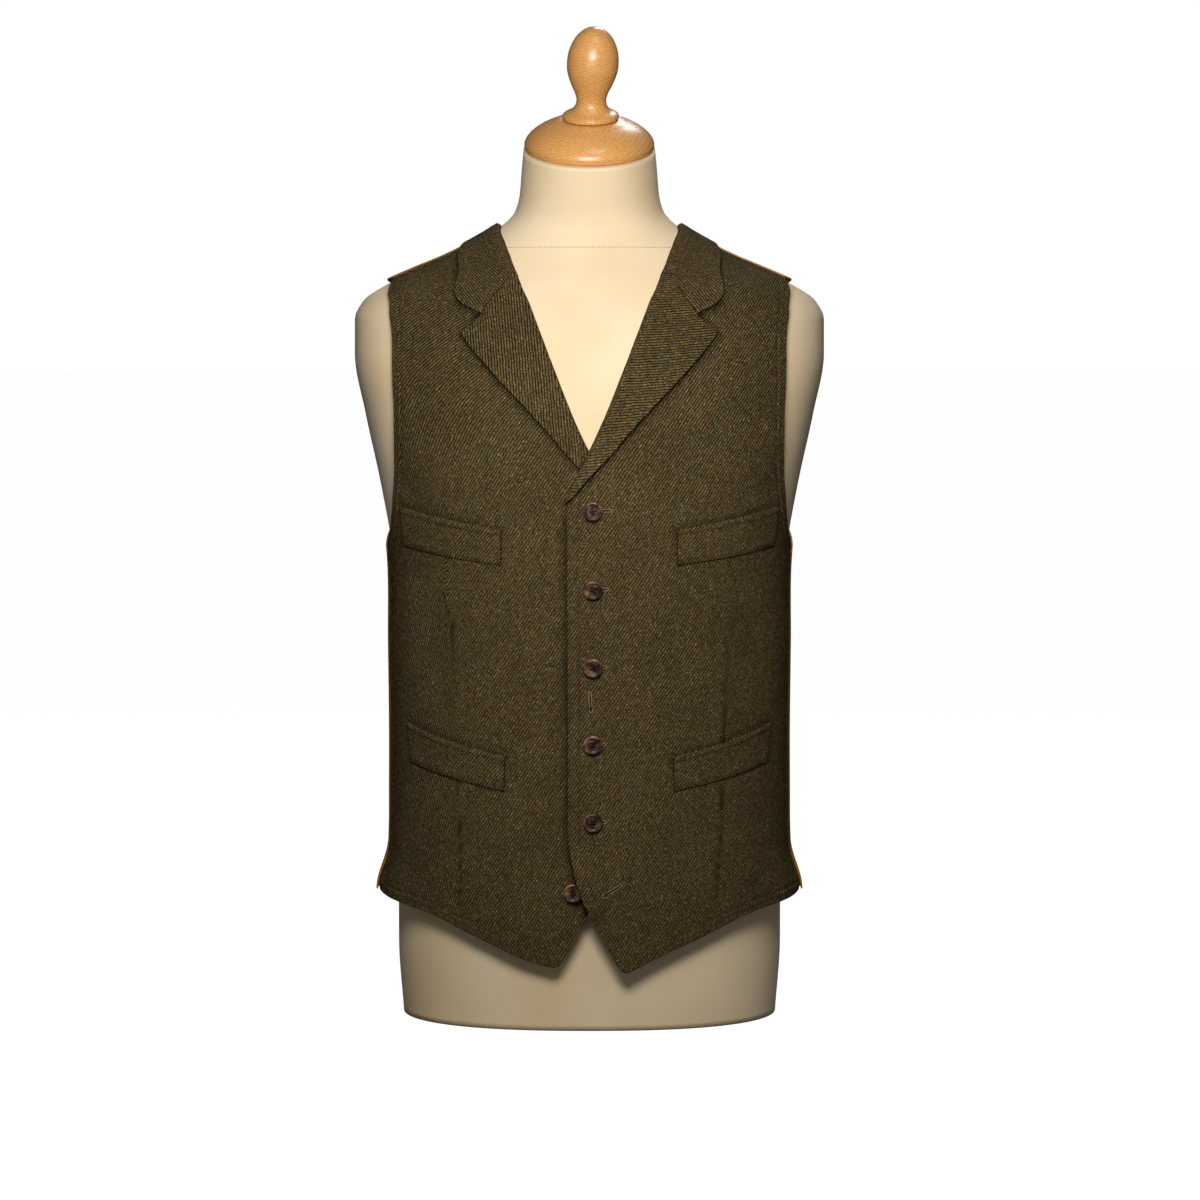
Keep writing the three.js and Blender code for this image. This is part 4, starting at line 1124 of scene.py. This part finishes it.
def add_welt(name, side, welt, lift, mouth):
    top, foot = (on_front(line) for line in welt)
    area = patch(
        top=path_through(top),
        bottom=path_through(foot),
        inner=path_through([top[0], foot[0]]),
        outer=path_through([top[2], foot[2]]),
    )
    us = shares(88, 2.0, [(0, 1.2, 0.3), (0, 4, 0.8), (88, 1.2, 0.3), (88, 4, 0.8)])
    vs = shares(28, 1.0, [(0, 1.2, 0.25), (28, 1.2, 0.3)])
    place = area(us[None, :], vs[:, None])
    angle, z = place[..., 0] * side, place[..., 1]
    open_by = mouth * (1 - smoothstep(vs[:, None], 0, 0.7)) * np.sin(math.pi * us[None, :])
    low = lift(angle, z) + LAYER_GAP + open_by
    face = cloth_point(angle, z, low)
    rim = rim_distance(face)
    band = 28 * vs[:, None] + 0 * us[None, :]
    ridge = 0.35 * np.exp(-(((band - 2.6) / 1.3) ** 2)) - 0.3 * np.exp(-(((band - 4.8) / 0.9) ** 2))
    end = 88 * us[None, :] + 0 * band
    ridge = ridge + 0.35 * np.exp(-(((end - 1.6) / 1) ** 2)) - 0.3 * np.exp(-(((end - 3.6) / 0.8) ** 2))
    foot_drop = 0.9 * np.exp(-(((28 - band) / 2.5) ** 2))
    outer = cloth_point(angle, z, low + WELT_CLOTH - foot_drop - round_edge(rim, 0.6) + ridge)
    inner = cloth_point(angle, z, low + round_edge(rim, 0.2))
    across, up = fabric_mm(angle, z)
    uv = turned_uv(across, up, -7)
    uv = np.concatenate([uv.reshape(-1, 2)] * 2)
    points = np.concatenate([outer.reshape(-1, 3), inner.reshape(-1, 3)])
    # painted shade: darker along the welt's foot, at both ends and in its stitch furrow, where shadow falls
    dark = 0.85 * np.exp(-(((28 - band) / 0.7) ** 2)) + 0.9 * np.exp(-((end / 0.7) ** 2))
    dark = dark + 0.5 * np.exp(-(((88 - end) / 0.8) ** 2)) + 0.3 * np.exp(-(((band - 4.8) / 0.8) ** 2))
    dark = np.minimum(np.concatenate([dark, dark]), 1)
    return new_object(name, points, wall_faces(*z.shape), woollen_twill(), uv, painted_shade=dark)


# Hard pieces


def turned_mesh(outline, segments, fine):
    """Points and faces of a turned piece, its outline smoothed between the given rows."""
    at = np.array(outline, float)
    step = np.hypot(*np.diff(at, axis=0).T)
    share = np.concatenate([[0], np.cumsum(step)]) / step.sum()
    radius, height = curve_through(share, at[:, 0]), curve_through(share, at[:, 1])
    t = np.unique(np.concatenate([share, np.linspace(0, 1, fine)]))[1:-1]
    rings = np.stack([radius(t), height(t)], -1)
    turn = np.arange(segments) / segments * 2 * math.pi
    points = [
        (r * math.cos(a), r * math.sin(a), h) for r, h in rings for a in turn
    ]
    faces = []
    for j in range(len(rings) - 1):
        for i in range(segments):
            k = (i + 1) % segments
            faces.append((j * segments + i, j * segments + k, (j + 1) * segments + k, (j + 1) * segments + i))
    bottom, top = len(points), len(points) + 1
    points += [(0, 0, at[0, 1]), (0, 0, at[-1, 1])]
    last = (len(rings) - 1) * segments
    for i in range(segments):
        k = (i + 1) % segments
        faces += [(bottom, k, i), (top, last + i, last + k)]
    return np.array(points), faces


def cap_places(points):
    turn = np.array(Euler((math.radians(CAP_TILT), 0, 0)).to_matrix())
    return points @ turn.T + np.array((0, FORM[-1, 4], FORM[-1, 0]))


def button_shape():
    """A four-hole button standing on +Z, in mm: raised rim, dished middle, bored holes."""
    outline = [
        (0, 0), (5.4, 0), (6.6, 0.35), (7.5, 1.1), (7.7, 1.9), (7.45, 2.7), (6.9, 3.15),
        (6.2, 3.2), (5.75, 2.85), (5.45, 2.15), (5.0, 1.85), (3.6, 1.75), (0, 1.7),
    ]
    points, faces = turned_mesh(outline, 48, 40)
    body = bpy.data.meshes.new("button_body")
    body.from_pydata(points.tolist(), [], faces)
    blank = bpy.data.objects.new("button_blank", body)
    bpy.context.scene.collection.objects.link(blank)
    drills = []
    for x, y in ((1, 0), (0, 1), (-1, 0), (0, -1)):
        hole, hole_faces = turned_mesh([(0, -2), (HOLE_RADIUS, -2), (HOLE_RADIUS, 6), (0, 6)], 14, 2)
        mesh = bpy.data.meshes.new("drill")
        mesh.from_pydata((hole + (x * HOLE_PLACE, y * HOLE_PLACE, 0)).tolist(), [], hole_faces)
        drill = bpy.data.objects.new("drill", mesh)
        bpy.context.scene.collection.objects.link(drill)
        cut = blank.modifiers.new("hole", "BOOLEAN")
        cut.operation = "DIFFERENCE"
        cut.solver = "EXACT"
        cut.object = drill
        drills.append(drill)
    bpy.context.view_layer.update()
    made = bpy.data.meshes.new_from_object(blank.evaluated_get(bpy.context.evaluated_depsgraph_get()))
    cut_points = np.array([v.co[:] for v in made.vertices])
    cut_faces = [tuple(p.vertices) for p in made.polygons]
    for spare in [blank, *drills]:
        bpy.data.objects.remove(spare)
    return cut_points, cut_faces


def button_place(x, z, lift):
    angle, height = np.array(angle_at(x, z)), np.array(float(z))
    foot = cloth_point(angle, height, lift(angle, height) + LAYER_GAP + 0.15)
    normal = Vector(form_normal(angle, height))
    turn = Vector((0, 0, 1)).rotation_difference(normal)
    return foot, np.array(turn.to_matrix())


def thread_arc(start, end, rise, radius, steps=10, sides=8):
    """A short tube of thread from one hole to the other, bowed up by rise."""
    t = np.linspace(0, 1, steps + 1)[:, None]
    line = start + (end - start) * t + np.array((0, 0, 1)) * rise * np.sin(math.pi * t)
    points, faces = [], []
    side_way = np.cross(end - start, (0, 0, 1))
    side_way = side_way / np.linalg.norm(side_way)
    for k in range(steps + 1):
        forward = line[min(k + 1, steps)] - line[max(k - 1, 0)]
        up = np.cross(side_way, forward)
        up = up / np.linalg.norm(up)
        for i in range(sides):
            a = 2 * math.pi * i / sides
            points.append(line[k] + radius * (math.cos(a) * side_way + math.sin(a) * up))
    for k in range(steps):
        for i in range(sides):
            j = (i + 1) % sides
            faces.append((k * sides + i, k * sides + j, (k + 1) * sides + j, (k + 1) * sides + i))
    faces.append(tuple(range(sides))[::-1])
    faces.append(tuple(steps * sides + i for i in range(sides)))
    return np.array(points), faces


def merged(parts):
    points, faces, start = [], [], 0
    for some_points, some_faces in parts:
        points.append(some_points)
        faces += [tuple(i + start for i in face) for face in some_faces]
        start += len(some_points)
    return np.concatenate(points), faces


# Stitches


@functools.cache
def stitch_tree():
    """Geometry nodes that lay one small stitch after another along a line of points."""
    tree = bpy.data.node_groups.new("stitches", "GeometryNodeTree")
    face = tree.interface
    face.new_socket("Geometry", in_out="INPUT", socket_type="NodeSocketGeometry")
    for name, value in (("Pitch", 0.0006), ("Length", 0.0012), ("Width", 0.0005), ("Jitter", 0.15)):
        face.new_socket(name, in_out="INPUT", socket_type="NodeSocketFloat").default_value = value
    face.new_socket("Seed", in_out="INPUT", socket_type="NodeSocketInt").default_value = 7
    face.new_socket("Thread", in_out="INPUT", socket_type="NodeSocketMaterial")
    face.new_socket("Geometry", in_out="OUTPUT", socket_type="NodeSocketGeometry")
    given = add_node(tree, "NodeGroupInput").outputs
    line = add_node(tree, "GeometryNodeMeshToCurve", {"Mesh": given["Geometry"]}).outputs["Curve"]
    spaced = add_node(
        tree, "GeometryNodeResampleCurve", {"Curve": line, "Length": given["Pitch"]}, mode="LENGTH"
    ).outputs["Curve"]
    bead = add_node(tree, "GeometryNodeMeshIcoSphere", {"Radius": 0.5, "Subdivisions": 2}).outputs["Mesh"]
    size = add_node(
        tree, "ShaderNodeCombineXYZ", {"X": given["Length"], "Y": given["Width"], "Z": given["Width"]}
    ).outputs["Vector"]
    stitch = add_node(tree, "GeometryNodeTransform", {"Geometry": bead, "Scale": size}).outputs["Geometry"]
    outwards = add_node(
        tree, "GeometryNodeInputNamedAttribute", {"Name": "outwards"}, data_type="FLOAT_VECTOR"
    ).outputs["Attribute"]
    across = add_node(
        tree, "GeometryNodeInputNamedAttribute", {"Name": "stitch_way"}, data_type="FLOAT_VECTOR"
    ).outputs["Attribute"]
    upright = add_node(
        tree, "FunctionNodeAlignRotationToVector", {"Vector": outwards}, axis="Z"
    ).outputs["Rotation"]
    laid = add_node(
        tree,
        "FunctionNodeAlignRotationToVector",
        {"Rotation": upright, "Vector": across},
        axis="X",
        pivot_axis="Z",
    ).outputs["Rotation"]
    wobble = add_node(
        tree, "FunctionNodeRandomValue", {"Seed": given["Seed"]}, data_type="FLOAT"
    )
    low = add_node(tree, "ShaderNodeMath", {0: given["Jitter"], 1: -1.0}, operation="MULTIPLY").outputs[0]
    tree.links.new(low, wobble.inputs[2])
    tree.links.new(given["Jitter"], wobble.inputs[3])
    twist = add_node(
        tree, "FunctionNodeAxisAngleToRotation", {"Axis": (0, 0, 1), "Angle": wobble.outputs[1]}
    ).outputs["Rotation"]
    turned = add_node(
        tree, "FunctionNodeRotateRotation", {"Rotation": laid, "Rotate By": twist}, rotation_space="LOCAL"
    ).outputs["Rotation"]
    placed = add_node(
        tree, "GeometryNodeInstanceOnPoints", {"Points": spaced, "Instance": stitch, "Rotation": turned}
    ).outputs["Instances"]
    real = add_node(tree, "GeometryNodeRealizeInstances", {"Geometry": placed}).outputs["Geometry"]
    threaded = add_node(
        tree, "GeometryNodeSetMaterial", {"Geometry": real, "Material": given["Thread"]}
    ).outputs["Geometry"]
    add_node(tree, "NodeGroupOutput", {"Geometry": threaded})
    return tree


def add_stitches(name, lines, material, **sizes):
    """Makes stitches along lines of (points, outwards, stitch_way) rows, in mm."""
    points, edges, outwards, ways, start = [], [], [], [], 0
    for line, normal, way in lines:
        points.append(line)
        outwards.append(normal)
        ways.append(way)
        edges += [(start + i, start + i + 1) for i in range(len(line) - 1)]
        start += len(line)
    mesh = bpy.data.meshes.new(name)
    mesh.from_pydata((np.concatenate(points) / 1000).tolist(), edges, [])
    for key, rows in (("outwards", outwards), ("stitch_way", ways)):
        layer = mesh.attributes.new(key, "FLOAT_VECTOR", "POINT")
        layer.data.foreach_set("vector", np.concatenate(rows).ravel())
    piece = bpy.data.objects.new(name, mesh)
    bpy.context.scene.collection.objects.link(piece)
    modifier = piece.modifiers.new("stitches", "NODES")
    tree = stitch_tree()
    modifier.node_group = tree
    keys = {s.name: s.identifier for s in tree.interface.items_tree if s.in_out == "INPUT"}
    for key, value in {**sizes, "Thread": material}.items():
        modifier[keys[key]] = value
    bpy.context.view_layer.update()
    made = bpy.data.meshes.new_from_object(piece.evaluated_get(bpy.context.evaluated_depsgraph_get()))
    piece.modifiers.remove(modifier)
    made.name = name
    piece.data = made
    made.polygons.foreach_set("use_smooth", [True] * len(made.polygons))
    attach(piece, "root")
    return piece


def cloth_frame(x, z, lift, raised):
    """A point on a front's face and its outward direction."""
    x, z = np.asarray(x, float), np.asarray(z, float)
    angle = np.array([angle_at(a, b) for a, b in zip(x, z)])
    point = cloth_point(angle, z, lift(angle, z) + worn_relief(angle, z, 1) + raised)
    return point, form_normal(angle, z)


def buttonhole_lines(slit, width, eyelet_end, lift):
    """The stitched loop round a slit from (x, z) to (x, z), with a rounder end if asked."""
    start, end = (np.array(p, float) for p in slit)
    way = (end - start) / np.linalg.norm(end - start)
    side = np.array((-way[1], way[0]))
    loop = []
    for p, s in ((start, 1), (end, 1)):
        loop.append(p + side * s * width / 2)
    turn = np.linspace(math.pi / 2, -math.pi / 2, 9)[1:-1]
    radius = width / 2 * (1.7 if eyelet_end else 1)
    loop += [end + way * radius * math.cos(a) + side * radius * math.sin(a) for a in turn]
    loop += [end - side * width / 2, start - side * width / 2]
    loop += [start - way * width * 0.35, start + side * width / 2]
    loop = np.array(loop)
    fine = []
    for a, b in zip(loop, loop[1:]):
        count = max(int(np.linalg.norm(b - a) / 0.5), 1)
        fine += [a + (b - a) * i / count for i in range(count)]
    fine.append(loop[-1])
    fine = np.array(fine)
    point, normal = cloth_frame(fine[:, 0], fine[:, 1], lift, 0.12)
    step = np.gradient(point, axis=0)
    across = np.cross(normal, step)
    return point, normal, across / np.linalg.norm(across, axis=-1, keepdims=True)


def slit_mesh(slit, width, eyelet_end, lift):
    """Painted shade in the opening inside a buttonhole: a dark thin lens laid on the cloth."""
    start, end = (np.array(p, float) for p in slit)
    way = (end - start) / np.linalg.norm(end - start)
    side = np.array((-way[1], way[0]))
    t = np.linspace(0, 1, 13)
    half = width * 0.2 * np.minimum(1, 6 * np.minimum(t, 1 - t) + 0.15)
    if eyelet_end:
        half = half + width * 0.62 * np.exp(-(((t - 0.91) / 0.09) ** 2))
    rows = []
    for share, h in zip(t, half):
        middle = start + (end - start) * share
        rows.append([middle + side * h * k for k in (-1, 0, 1)])
    flat = np.array(rows).reshape(-1, 2)
    top, normal = cloth_frame(flat[:, 0], flat[:, 1], lift, 0.2)
    return np.concatenate([top + normal * 0.12, top - normal * 0.3]), wall_faces(13, 3)


# Settings, operators and the panel


class ClothSettings(bpy.types.PropertyGroup):
    rib_pitch: FloatProperty(
        name="Rib pitch",
        description="Distance between the twill's diagonal ribs, in millimetres; really 2.1",
        default=2.24,
        min=0.5,
        max=6,
    )
    rib_angle: FloatProperty(
        name="Rib angle",
        description="Angle of the ribs above the horizontal on the fronts, in degrees",
        default=56,
        min=0,
        max=90,
    )
    lapel_swell: FloatProperty(
        name="Lapel swell",
        description="How far the lapels swell at their roll, in millimetres",
        default=1.8,
        min=0,
        max=4,
    )
    mouth: FloatProperty(
        name="Pocket mouth",
        description="How far the lower pockets' mouths stand open, in millimetres",
        default=1.3,
        min=0,
        max=3,
    )


class TrimSettings(bpy.types.PropertyGroup):
    hole_width: FloatProperty(
        name="Buttonhole width",
        description="Width between a buttonhole's two rows of stitches, in millimetres",
        default=2.1,
        min=0.5,
        max=4,
    )
    stitch_pitch: FloatProperty(
        name="Stitch pitch",
        description="Distance between a buttonhole's stitches",
        default=0.0006,
        min=0.0002,
        max=0.003,
        unit="LENGTH",
    )
    seed: IntProperty(
        name="Seed",
        description="Sets the small unevenness of the stitches",
        default=7,
    )


class StageSettings(bpy.types.PropertyGroup):
    floor_colour: FloatVectorProperty(
        name="Floor colour",
        description="Colour of the pale floor",
        subtype="COLOR",
        size=3,
        default=(0.2, 0.2, 0.2),
        min=0,
        max=1,
    )
    room_light: FloatProperty(
        name="Room light",
        description="Strength of the even light from all round",
        default=0.08,
        min=0,
        max=2,
    )
    camera_height: FloatProperty(
        name="Camera angle",
        description="Angle of the camera above the horizon",
        subtype="ANGLE",
        unit="ROTATION",
        default=math.radians(4),
    )
    camera_distance: FloatProperty(
        name="Camera distance",
        description="Distance from the camera to the chest",
        unit="LENGTH",
        default=3.0,
    )


class WAISTCOAT_OT_form(bpy.types.Operator):
    """Make the jersey-covered form and its neck seam"""

    bl_idname = "waistcoat.form"
    bl_label = "Form"

    def execute(self, context):
        heights = np.unique(np.concatenate([FORM[:, 0], np.linspace(0, FORM[-1, 0], 150)]))
        turn = np.radians(np.arange(0, 360, 2.5))
        angle, z = np.meshgrid(turn, heights)
        points = form_point(angle, z)
        rows, columns = angle.shape
        faces = []
        for j in range(rows - 1):
            for i in range(columns):
                k = (i + 1) % columns
                faces.append((j * columns + i, j * columns + k, (j + 1) * columns + k, (j + 1) * columns + i))
        faces.append(tuple(range(columns))[::-1])
        faces.append(tuple((rows - 1) * columns + i for i in range(columns)))
        piece = new_object("jersey_form", points.reshape(-1, 3), faces, cotton_jersey())
        for polygon in piece.data.polygons:
            polygon.use_smooth = len(polygon.vertices) == 4
        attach(piece, "root")
        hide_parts("form_torso")
        ring = np.radians(np.arange(0, 361, 3.0))
        seam_z = np.full_like(ring, NECK_SEAM)
        line = form_point(ring, seam_z) + form_normal(ring, seam_z) * 0.15
        way = np.gradient(line, axis=0)
        seam = add_stitches(
            "neck_seam",
            [(line, form_normal(ring, seam_z), way)],
            plain_thread_or_shade("seam_thread", "#b3915f"),
            Pitch=0.0026,
            Length=0.0016,
            Width=0.0007,
            Jitter=0.05,
            Seed=context.scene.waistcoat_trim.seed,
        )
        return {"FINISHED"}


class WAISTCOAT_OT_wood(bpy.types.Operator):
    """Make the turned beech cap and finial"""

    bl_idname = "waistcoat.wood"
    bl_label = "Cap and finial"

    def execute(self, context):
        for name, outline, node in (
            ("beech_cap", CAP_OUTLINE, "neck_cap"),
            ("beech_finial", FINIAL_OUTLINE, "finial"),
        ):
            points, faces = turned_mesh(outline, 96, 90)
            if name == "beech_finial":
                points[:, 0] += points[:, 2] * math.tan(math.radians(FINIAL_LEAN))
            piece = new_object(name, cap_places(points), faces, lacquered_beech())
            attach(piece, "root")
            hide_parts(node)
        return {"FINISHED"}


class WAISTCOAT_OT_fronts(bpy.types.Operator):
    """Make the two tweed fronts, the left one buttoned over the right"""

    bl_idname = "waistcoat.fronts"
    bl_label = "Fronts"

    def execute(self, context):
        left = add_front("tweed_front_left", 1, OVER_EDGE, OVER_BREAK, OVER_TIP, over_lift)
        right = add_front("tweed_front_right", -1, UNDER_EDGE, UNDER_BREAK, UNDER_TIP, no_lift)
        finish_cloth(left, "front_left")
        finish_cloth(right, "front_right")
        return {"FINISHED"}


class WAISTCOAT_OT_backs(bpy.types.Operator):
    """Make the two satin backs, sewn at the centre"""

    bl_idname = "waistcoat.backs"
    bl_label = "Backs"

    def execute(self, context):
        for side, word in ((1, "left"), (-1, "right")):
            piece = add_back(f"satin_back_{word}", side)
            finish_cloth(piece, f"back_{word}")
        return {"FINISHED"}


class WAISTCOAT_OT_lapels(bpy.types.Operator):
    """Make the lapels and the two collar ends"""

    bl_idname = "waistcoat.lapels"
    bl_label = "Lapels and collar"

    def execute(self, context):
        swell = context.scene.waistcoat_cloth.lapel_swell
        halves = (
            ("left", 1, over_lift, OVER_BREAK, lambda v: 1 - 0.5 * v, -51),
            ("right", -1, no_lift, UNDER_BREAK, lambda v: 1 - smoothstep(v, 0.4, 0.6), 39),
        )
        for word, side, lift, break_point, full, grain in halves:
            lapel = add_turned(
                f"tweed_lapel_{word}",
                side,
                lapel_area(break_point),
                190,
                lift,
                lambda v, f=full: swell * f(v),
                lambda v, f=full: 1.6 * f(v) * smoothstep(v, 0, 0.2),
                grain,
            )
            finish_cloth(lapel, f"lapel_{word}")
            collar = add_turned(
                f"tweed_collar_{word}",
                side,
                collar_area(break_point),
                50,
                lift,
                lambda v: swell * smoothstep(v, 0, 0.4),
                lambda v: 1.6 * np.sin(math.pi * v),
                -112,
            )
            finish_cloth(collar, f"collar_{word}")
        return {"FINISHED"}


class WAISTCOAT_OT_welts(bpy.types.Operator):
    """Make the four pocket welts"""

    bl_idname = "waistcoat.welts"
    bl_label = "Pocket welts"

    def execute(self, context):
        mouth = context.scene.waistcoat_cloth.mouth
        for height, welt, gap in (("upper", UPPER_WELT, 0.5), ("lower", LOWER_WELT, mouth)):
            for word, side, lift in (("left", 1, over_lift), ("right", -1, no_lift)):
                piece = add_welt(f"tweed_welt_{height}_{word}", side, welt, lift, gap)
                finish_cloth(
                    piece, f"welt_{height}_{word}"
                )
        return {"FINISHED"}


class WAISTCOAT_OT_buttons(bpy.types.Operator):
    """Make the six buttons and the thread in their holes"""

    bl_idname = "waistcoat.buttons"
    bl_label = "Buttons"

    def execute(self, context):
        shape, faces = button_shape()
        dark = plain_thread_or_shade("button_thread", "#0c0907", 1.0)
        places = [(BUTTON_LINE, z, over_lift) for z in BUTTON_HEIGHTS]
        places.append((*LOOSE_BUTTON, no_lift))
        for i, (x, z, lift) in enumerate(places, 1):
            foot, turn = button_place(x, z, lift)
            spin = np.array(Matrix.Rotation(math.radians(9 * i + 4), 3, "Z"))
            spun = shape @ spin.T
            piece = new_object(
                f"horn_button_{i}",
                spun @ turn.T + foot,
                faces,
                horn_resin(),
                spun[:, :2] / BUTTON_RADIUS,
                "face",
            )
            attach(piece, "root")
            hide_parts(f"button_{i}")
            bars = []
            for way in ((1, 0), (0, 1)):
                end = np.array((way[0] * HOLE_PLACE, way[1] * HOLE_PLACE, 0))
                sunk = np.array((0, 0, 1.3))
                bars.append(thread_arc(sunk + end, sunk - end, 0.85, 0.44))
            points, bar_faces = merged(bars)
            thread = new_object(
                f"button_thread_{i}", points @ spin.T @ turn.T + foot, bar_faces, dark
            )
            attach(thread, "root")
        return {"FINISHED"}


class WAISTCOAT_OT_buttonholes(bpy.types.Operator):
    """Make the buttonholes and their stitches"""

    bl_idname = "waistcoat.buttonholes"
    bl_label = "Buttonholes"

    def execute(self, context):
        trim = context.scene.waistcoat_trim
        width = trim.hole_width
        holes = [
            (((BUTTON_LINE - 4, z + 0.4), (x, z + 0.6)), False)
            for z, x in zip(BUTTON_HEIGHTS, (17.6, 15, 14, 13.4, 13.8))
        ]
        holes.append((((0.8, 279), (1.7, 264.5)), True))
        holes.append((((26.4, 122.5), (12.4, 114.2)), True))
        # painted shade: the slits are a dark sheet where the openings' shadow falls
        dark = plain_thread_or_shade("hole_shadow", "#0c0a07", 1.0)
        light = plain_thread_or_shade("buttonhole_thread", "#a09070")
        lines = [buttonhole_lines(slit, width, eyelet, over_lift) for slit, eyelet in holes]
        stitches = add_stitches(
            "buttonhole_stitches",
            lines,
            light,
            Pitch=trim.stitch_pitch,
            Length=0.0009,
            Width=0.00045,
            Jitter=0.2,
            Seed=trim.seed,
        )
        slits = merged([slit_mesh(slit, width, eyelet, over_lift) for slit, eyelet in holes])
        piece = new_object("buttonhole_slit_shade", *slits, dark)
        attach(piece, "root")
        return {"FINISHED"}


class WAISTCOAT_OT_stage(bpy.types.Operator):
    """Make the floor, the lights and the camera"""

    bl_idname = "waistcoat.stage"
    bl_label = "Stage"

    def execute(self, context):
        scene = context.scene
        stage = scene.waistcoat_stage
        mesh = bpy.data.meshes.new("floor")
        reach = 60
        mesh.from_pydata(
            [(-reach, -reach, 0), (reach, -reach, 0), (reach, reach, 0), (-reach, reach, 0)], [], [(0, 1, 2, 3)]
        )
        floor = bpy.data.objects.new("floor", mesh)
        scene.collection.objects.link(floor)
        paper, tree, shader = new_material("white_paper")
        shader.inputs["Base Color"].default_value = (*stage.floor_colour, 1)
        shader.inputs["Roughness"].default_value = 1.0
        shader.inputs["Specular IOR Level"].default_value = 0.0
        shader.inputs["Emission Color"].default_value = (1, 1, 1, 1)
        shows = add_node(tree, "ShaderNodeLightPath").outputs["Is Camera Ray"]
        whitened = add_node(
            tree, "ShaderNodeMath", {0: shows, 1: 0.97}, operation="MULTIPLY"
        ).outputs[0]
        tree.links.new(whitened, shader.inputs["Emission Strength"])
        mesh.materials.append(paper)
        world = bpy.data.worlds.new("studio")
        scene.world = world
        world.use_nodes = True
        sky = world.node_tree
        sky.nodes.clear()
        # the room looks white, but gives less light than it shows
        seen = add_node(sky, "ShaderNodeLightPath").outputs["Is Camera Ray"]
        strength = add_node(
            sky, "ShaderNodeMapRange", {"Value": seen, "To Min": stage.room_light, "To Max": 1.0}
        ).outputs["Result"]
        room = add_node(
            sky, "ShaderNodeBackground", {"Color": (1, 1, 1, 1), "Strength": strength}
        ).outputs["Background"]
        add_node(sky, "ShaderNodeOutputWorld", {"Surface": room})
        for name, place, size, power in (
            ("softbox_key", (-0.03, -0.8, 0.74), (0.36, 0.28), 5.9),
            ("softbox_top", (0.2, -0.75, 1.6), (0.4, 0.3), 1.8),
            ("softbox_back", (0.35, 1.2, 1.9), (0.6, 0.5), 9),
        ):
            lamp = bpy.data.lights.new(name, "AREA")
            lamp.shape = "RECTANGLE"
            lamp.size, lamp.size_y = size
            lamp.energy = power
            light = bpy.data.objects.new(name, lamp)
            light.location = place
            aim = Vector((0, 0, 0.45)) - Vector(place)
            light.rotation_euler = aim.to_track_quat("-Z", "Y").to_euler()
            scene.collection.objects.link(light)
        camera = bpy.data.cameras.new("camera")
        camera.sensor_width = 36
        camera.lens = 112.5
        camera.clip_end = 200
        viewer = bpy.data.objects.new("camera", camera)
        tilt, far = stage.camera_height, stage.camera_distance
        target = Vector((0.0088, -0.130, 0.353))
        viewer.location = target + far * Vector((0, -math.cos(tilt), math.sin(tilt)))
        viewer.rotation_euler = (math.pi / 2 - tilt, 0, 0)
        scene.collection.objects.link(viewer)
        scene.camera = viewer
        scene.view_settings.view_transform = "Standard"
        return {"FINISHED"}


STEPS = ("form", "wood", "fronts", "backs", "lapels", "welts", "buttons", "buttonholes", "stage")


class WAISTCOAT_PT_panel(bpy.types.Panel):
    bl_label = "Waistcoat"
    bl_idname = "WAISTCOAT_PT_panel"
    bl_space_type = "VIEW_3D"
    bl_region_type = "UI"
    bl_category = "Waistcoat"

    def draw(self, context):
        layout = self.layout
        for settings in ("waistcoat_cloth", "waistcoat_trim", "waistcoat_stage"):
            group = getattr(context.scene, settings)
            for key in group.bl_rna.properties.keys():
                if key not in ("rna_type", "name"):
                    layout.prop(group, key)
        for step in STEPS:
            layout.operator(f"waistcoat.{step}")


SETTINGS = (
    ("waistcoat_cloth", ClothSettings),
    ("waistcoat_trim", TrimSettings),
    ("waistcoat_stage", StageSettings),
)
OPERATORS = (
    WAISTCOAT_OT_form,
    WAISTCOAT_OT_wood,
    WAISTCOAT_OT_fronts,
    WAISTCOAT_OT_backs,
    WAISTCOAT_OT_lapels,
    WAISTCOAT_OT_welts,
    WAISTCOAT_OT_buttons,
    WAISTCOAT_OT_buttonholes,
    WAISTCOAT_OT_stage,
)


def register():
    for key, kind in SETTINGS:
        bpy.utils.register_class(kind)
        setattr(bpy.types.Scene, key, PointerProperty(type=kind))
    for kind in (*OPERATORS, WAISTCOAT_PT_panel):
        bpy.utils.register_class(kind)


def unregister():
    for kind in (WAISTCOAT_PT_panel, *reversed(OPERATORS)):
        bpy.utils.unregister_class(kind)
    for key, kind in reversed(SETTINGS):
        delattr(bpy.types.Scene, key)
        bpy.utils.unregister_class(kind)


def main():
    register()
    for step in STEPS:
        getattr(bpy.ops.waistcoat, step)()


if __name__ == "__main__":
    main()
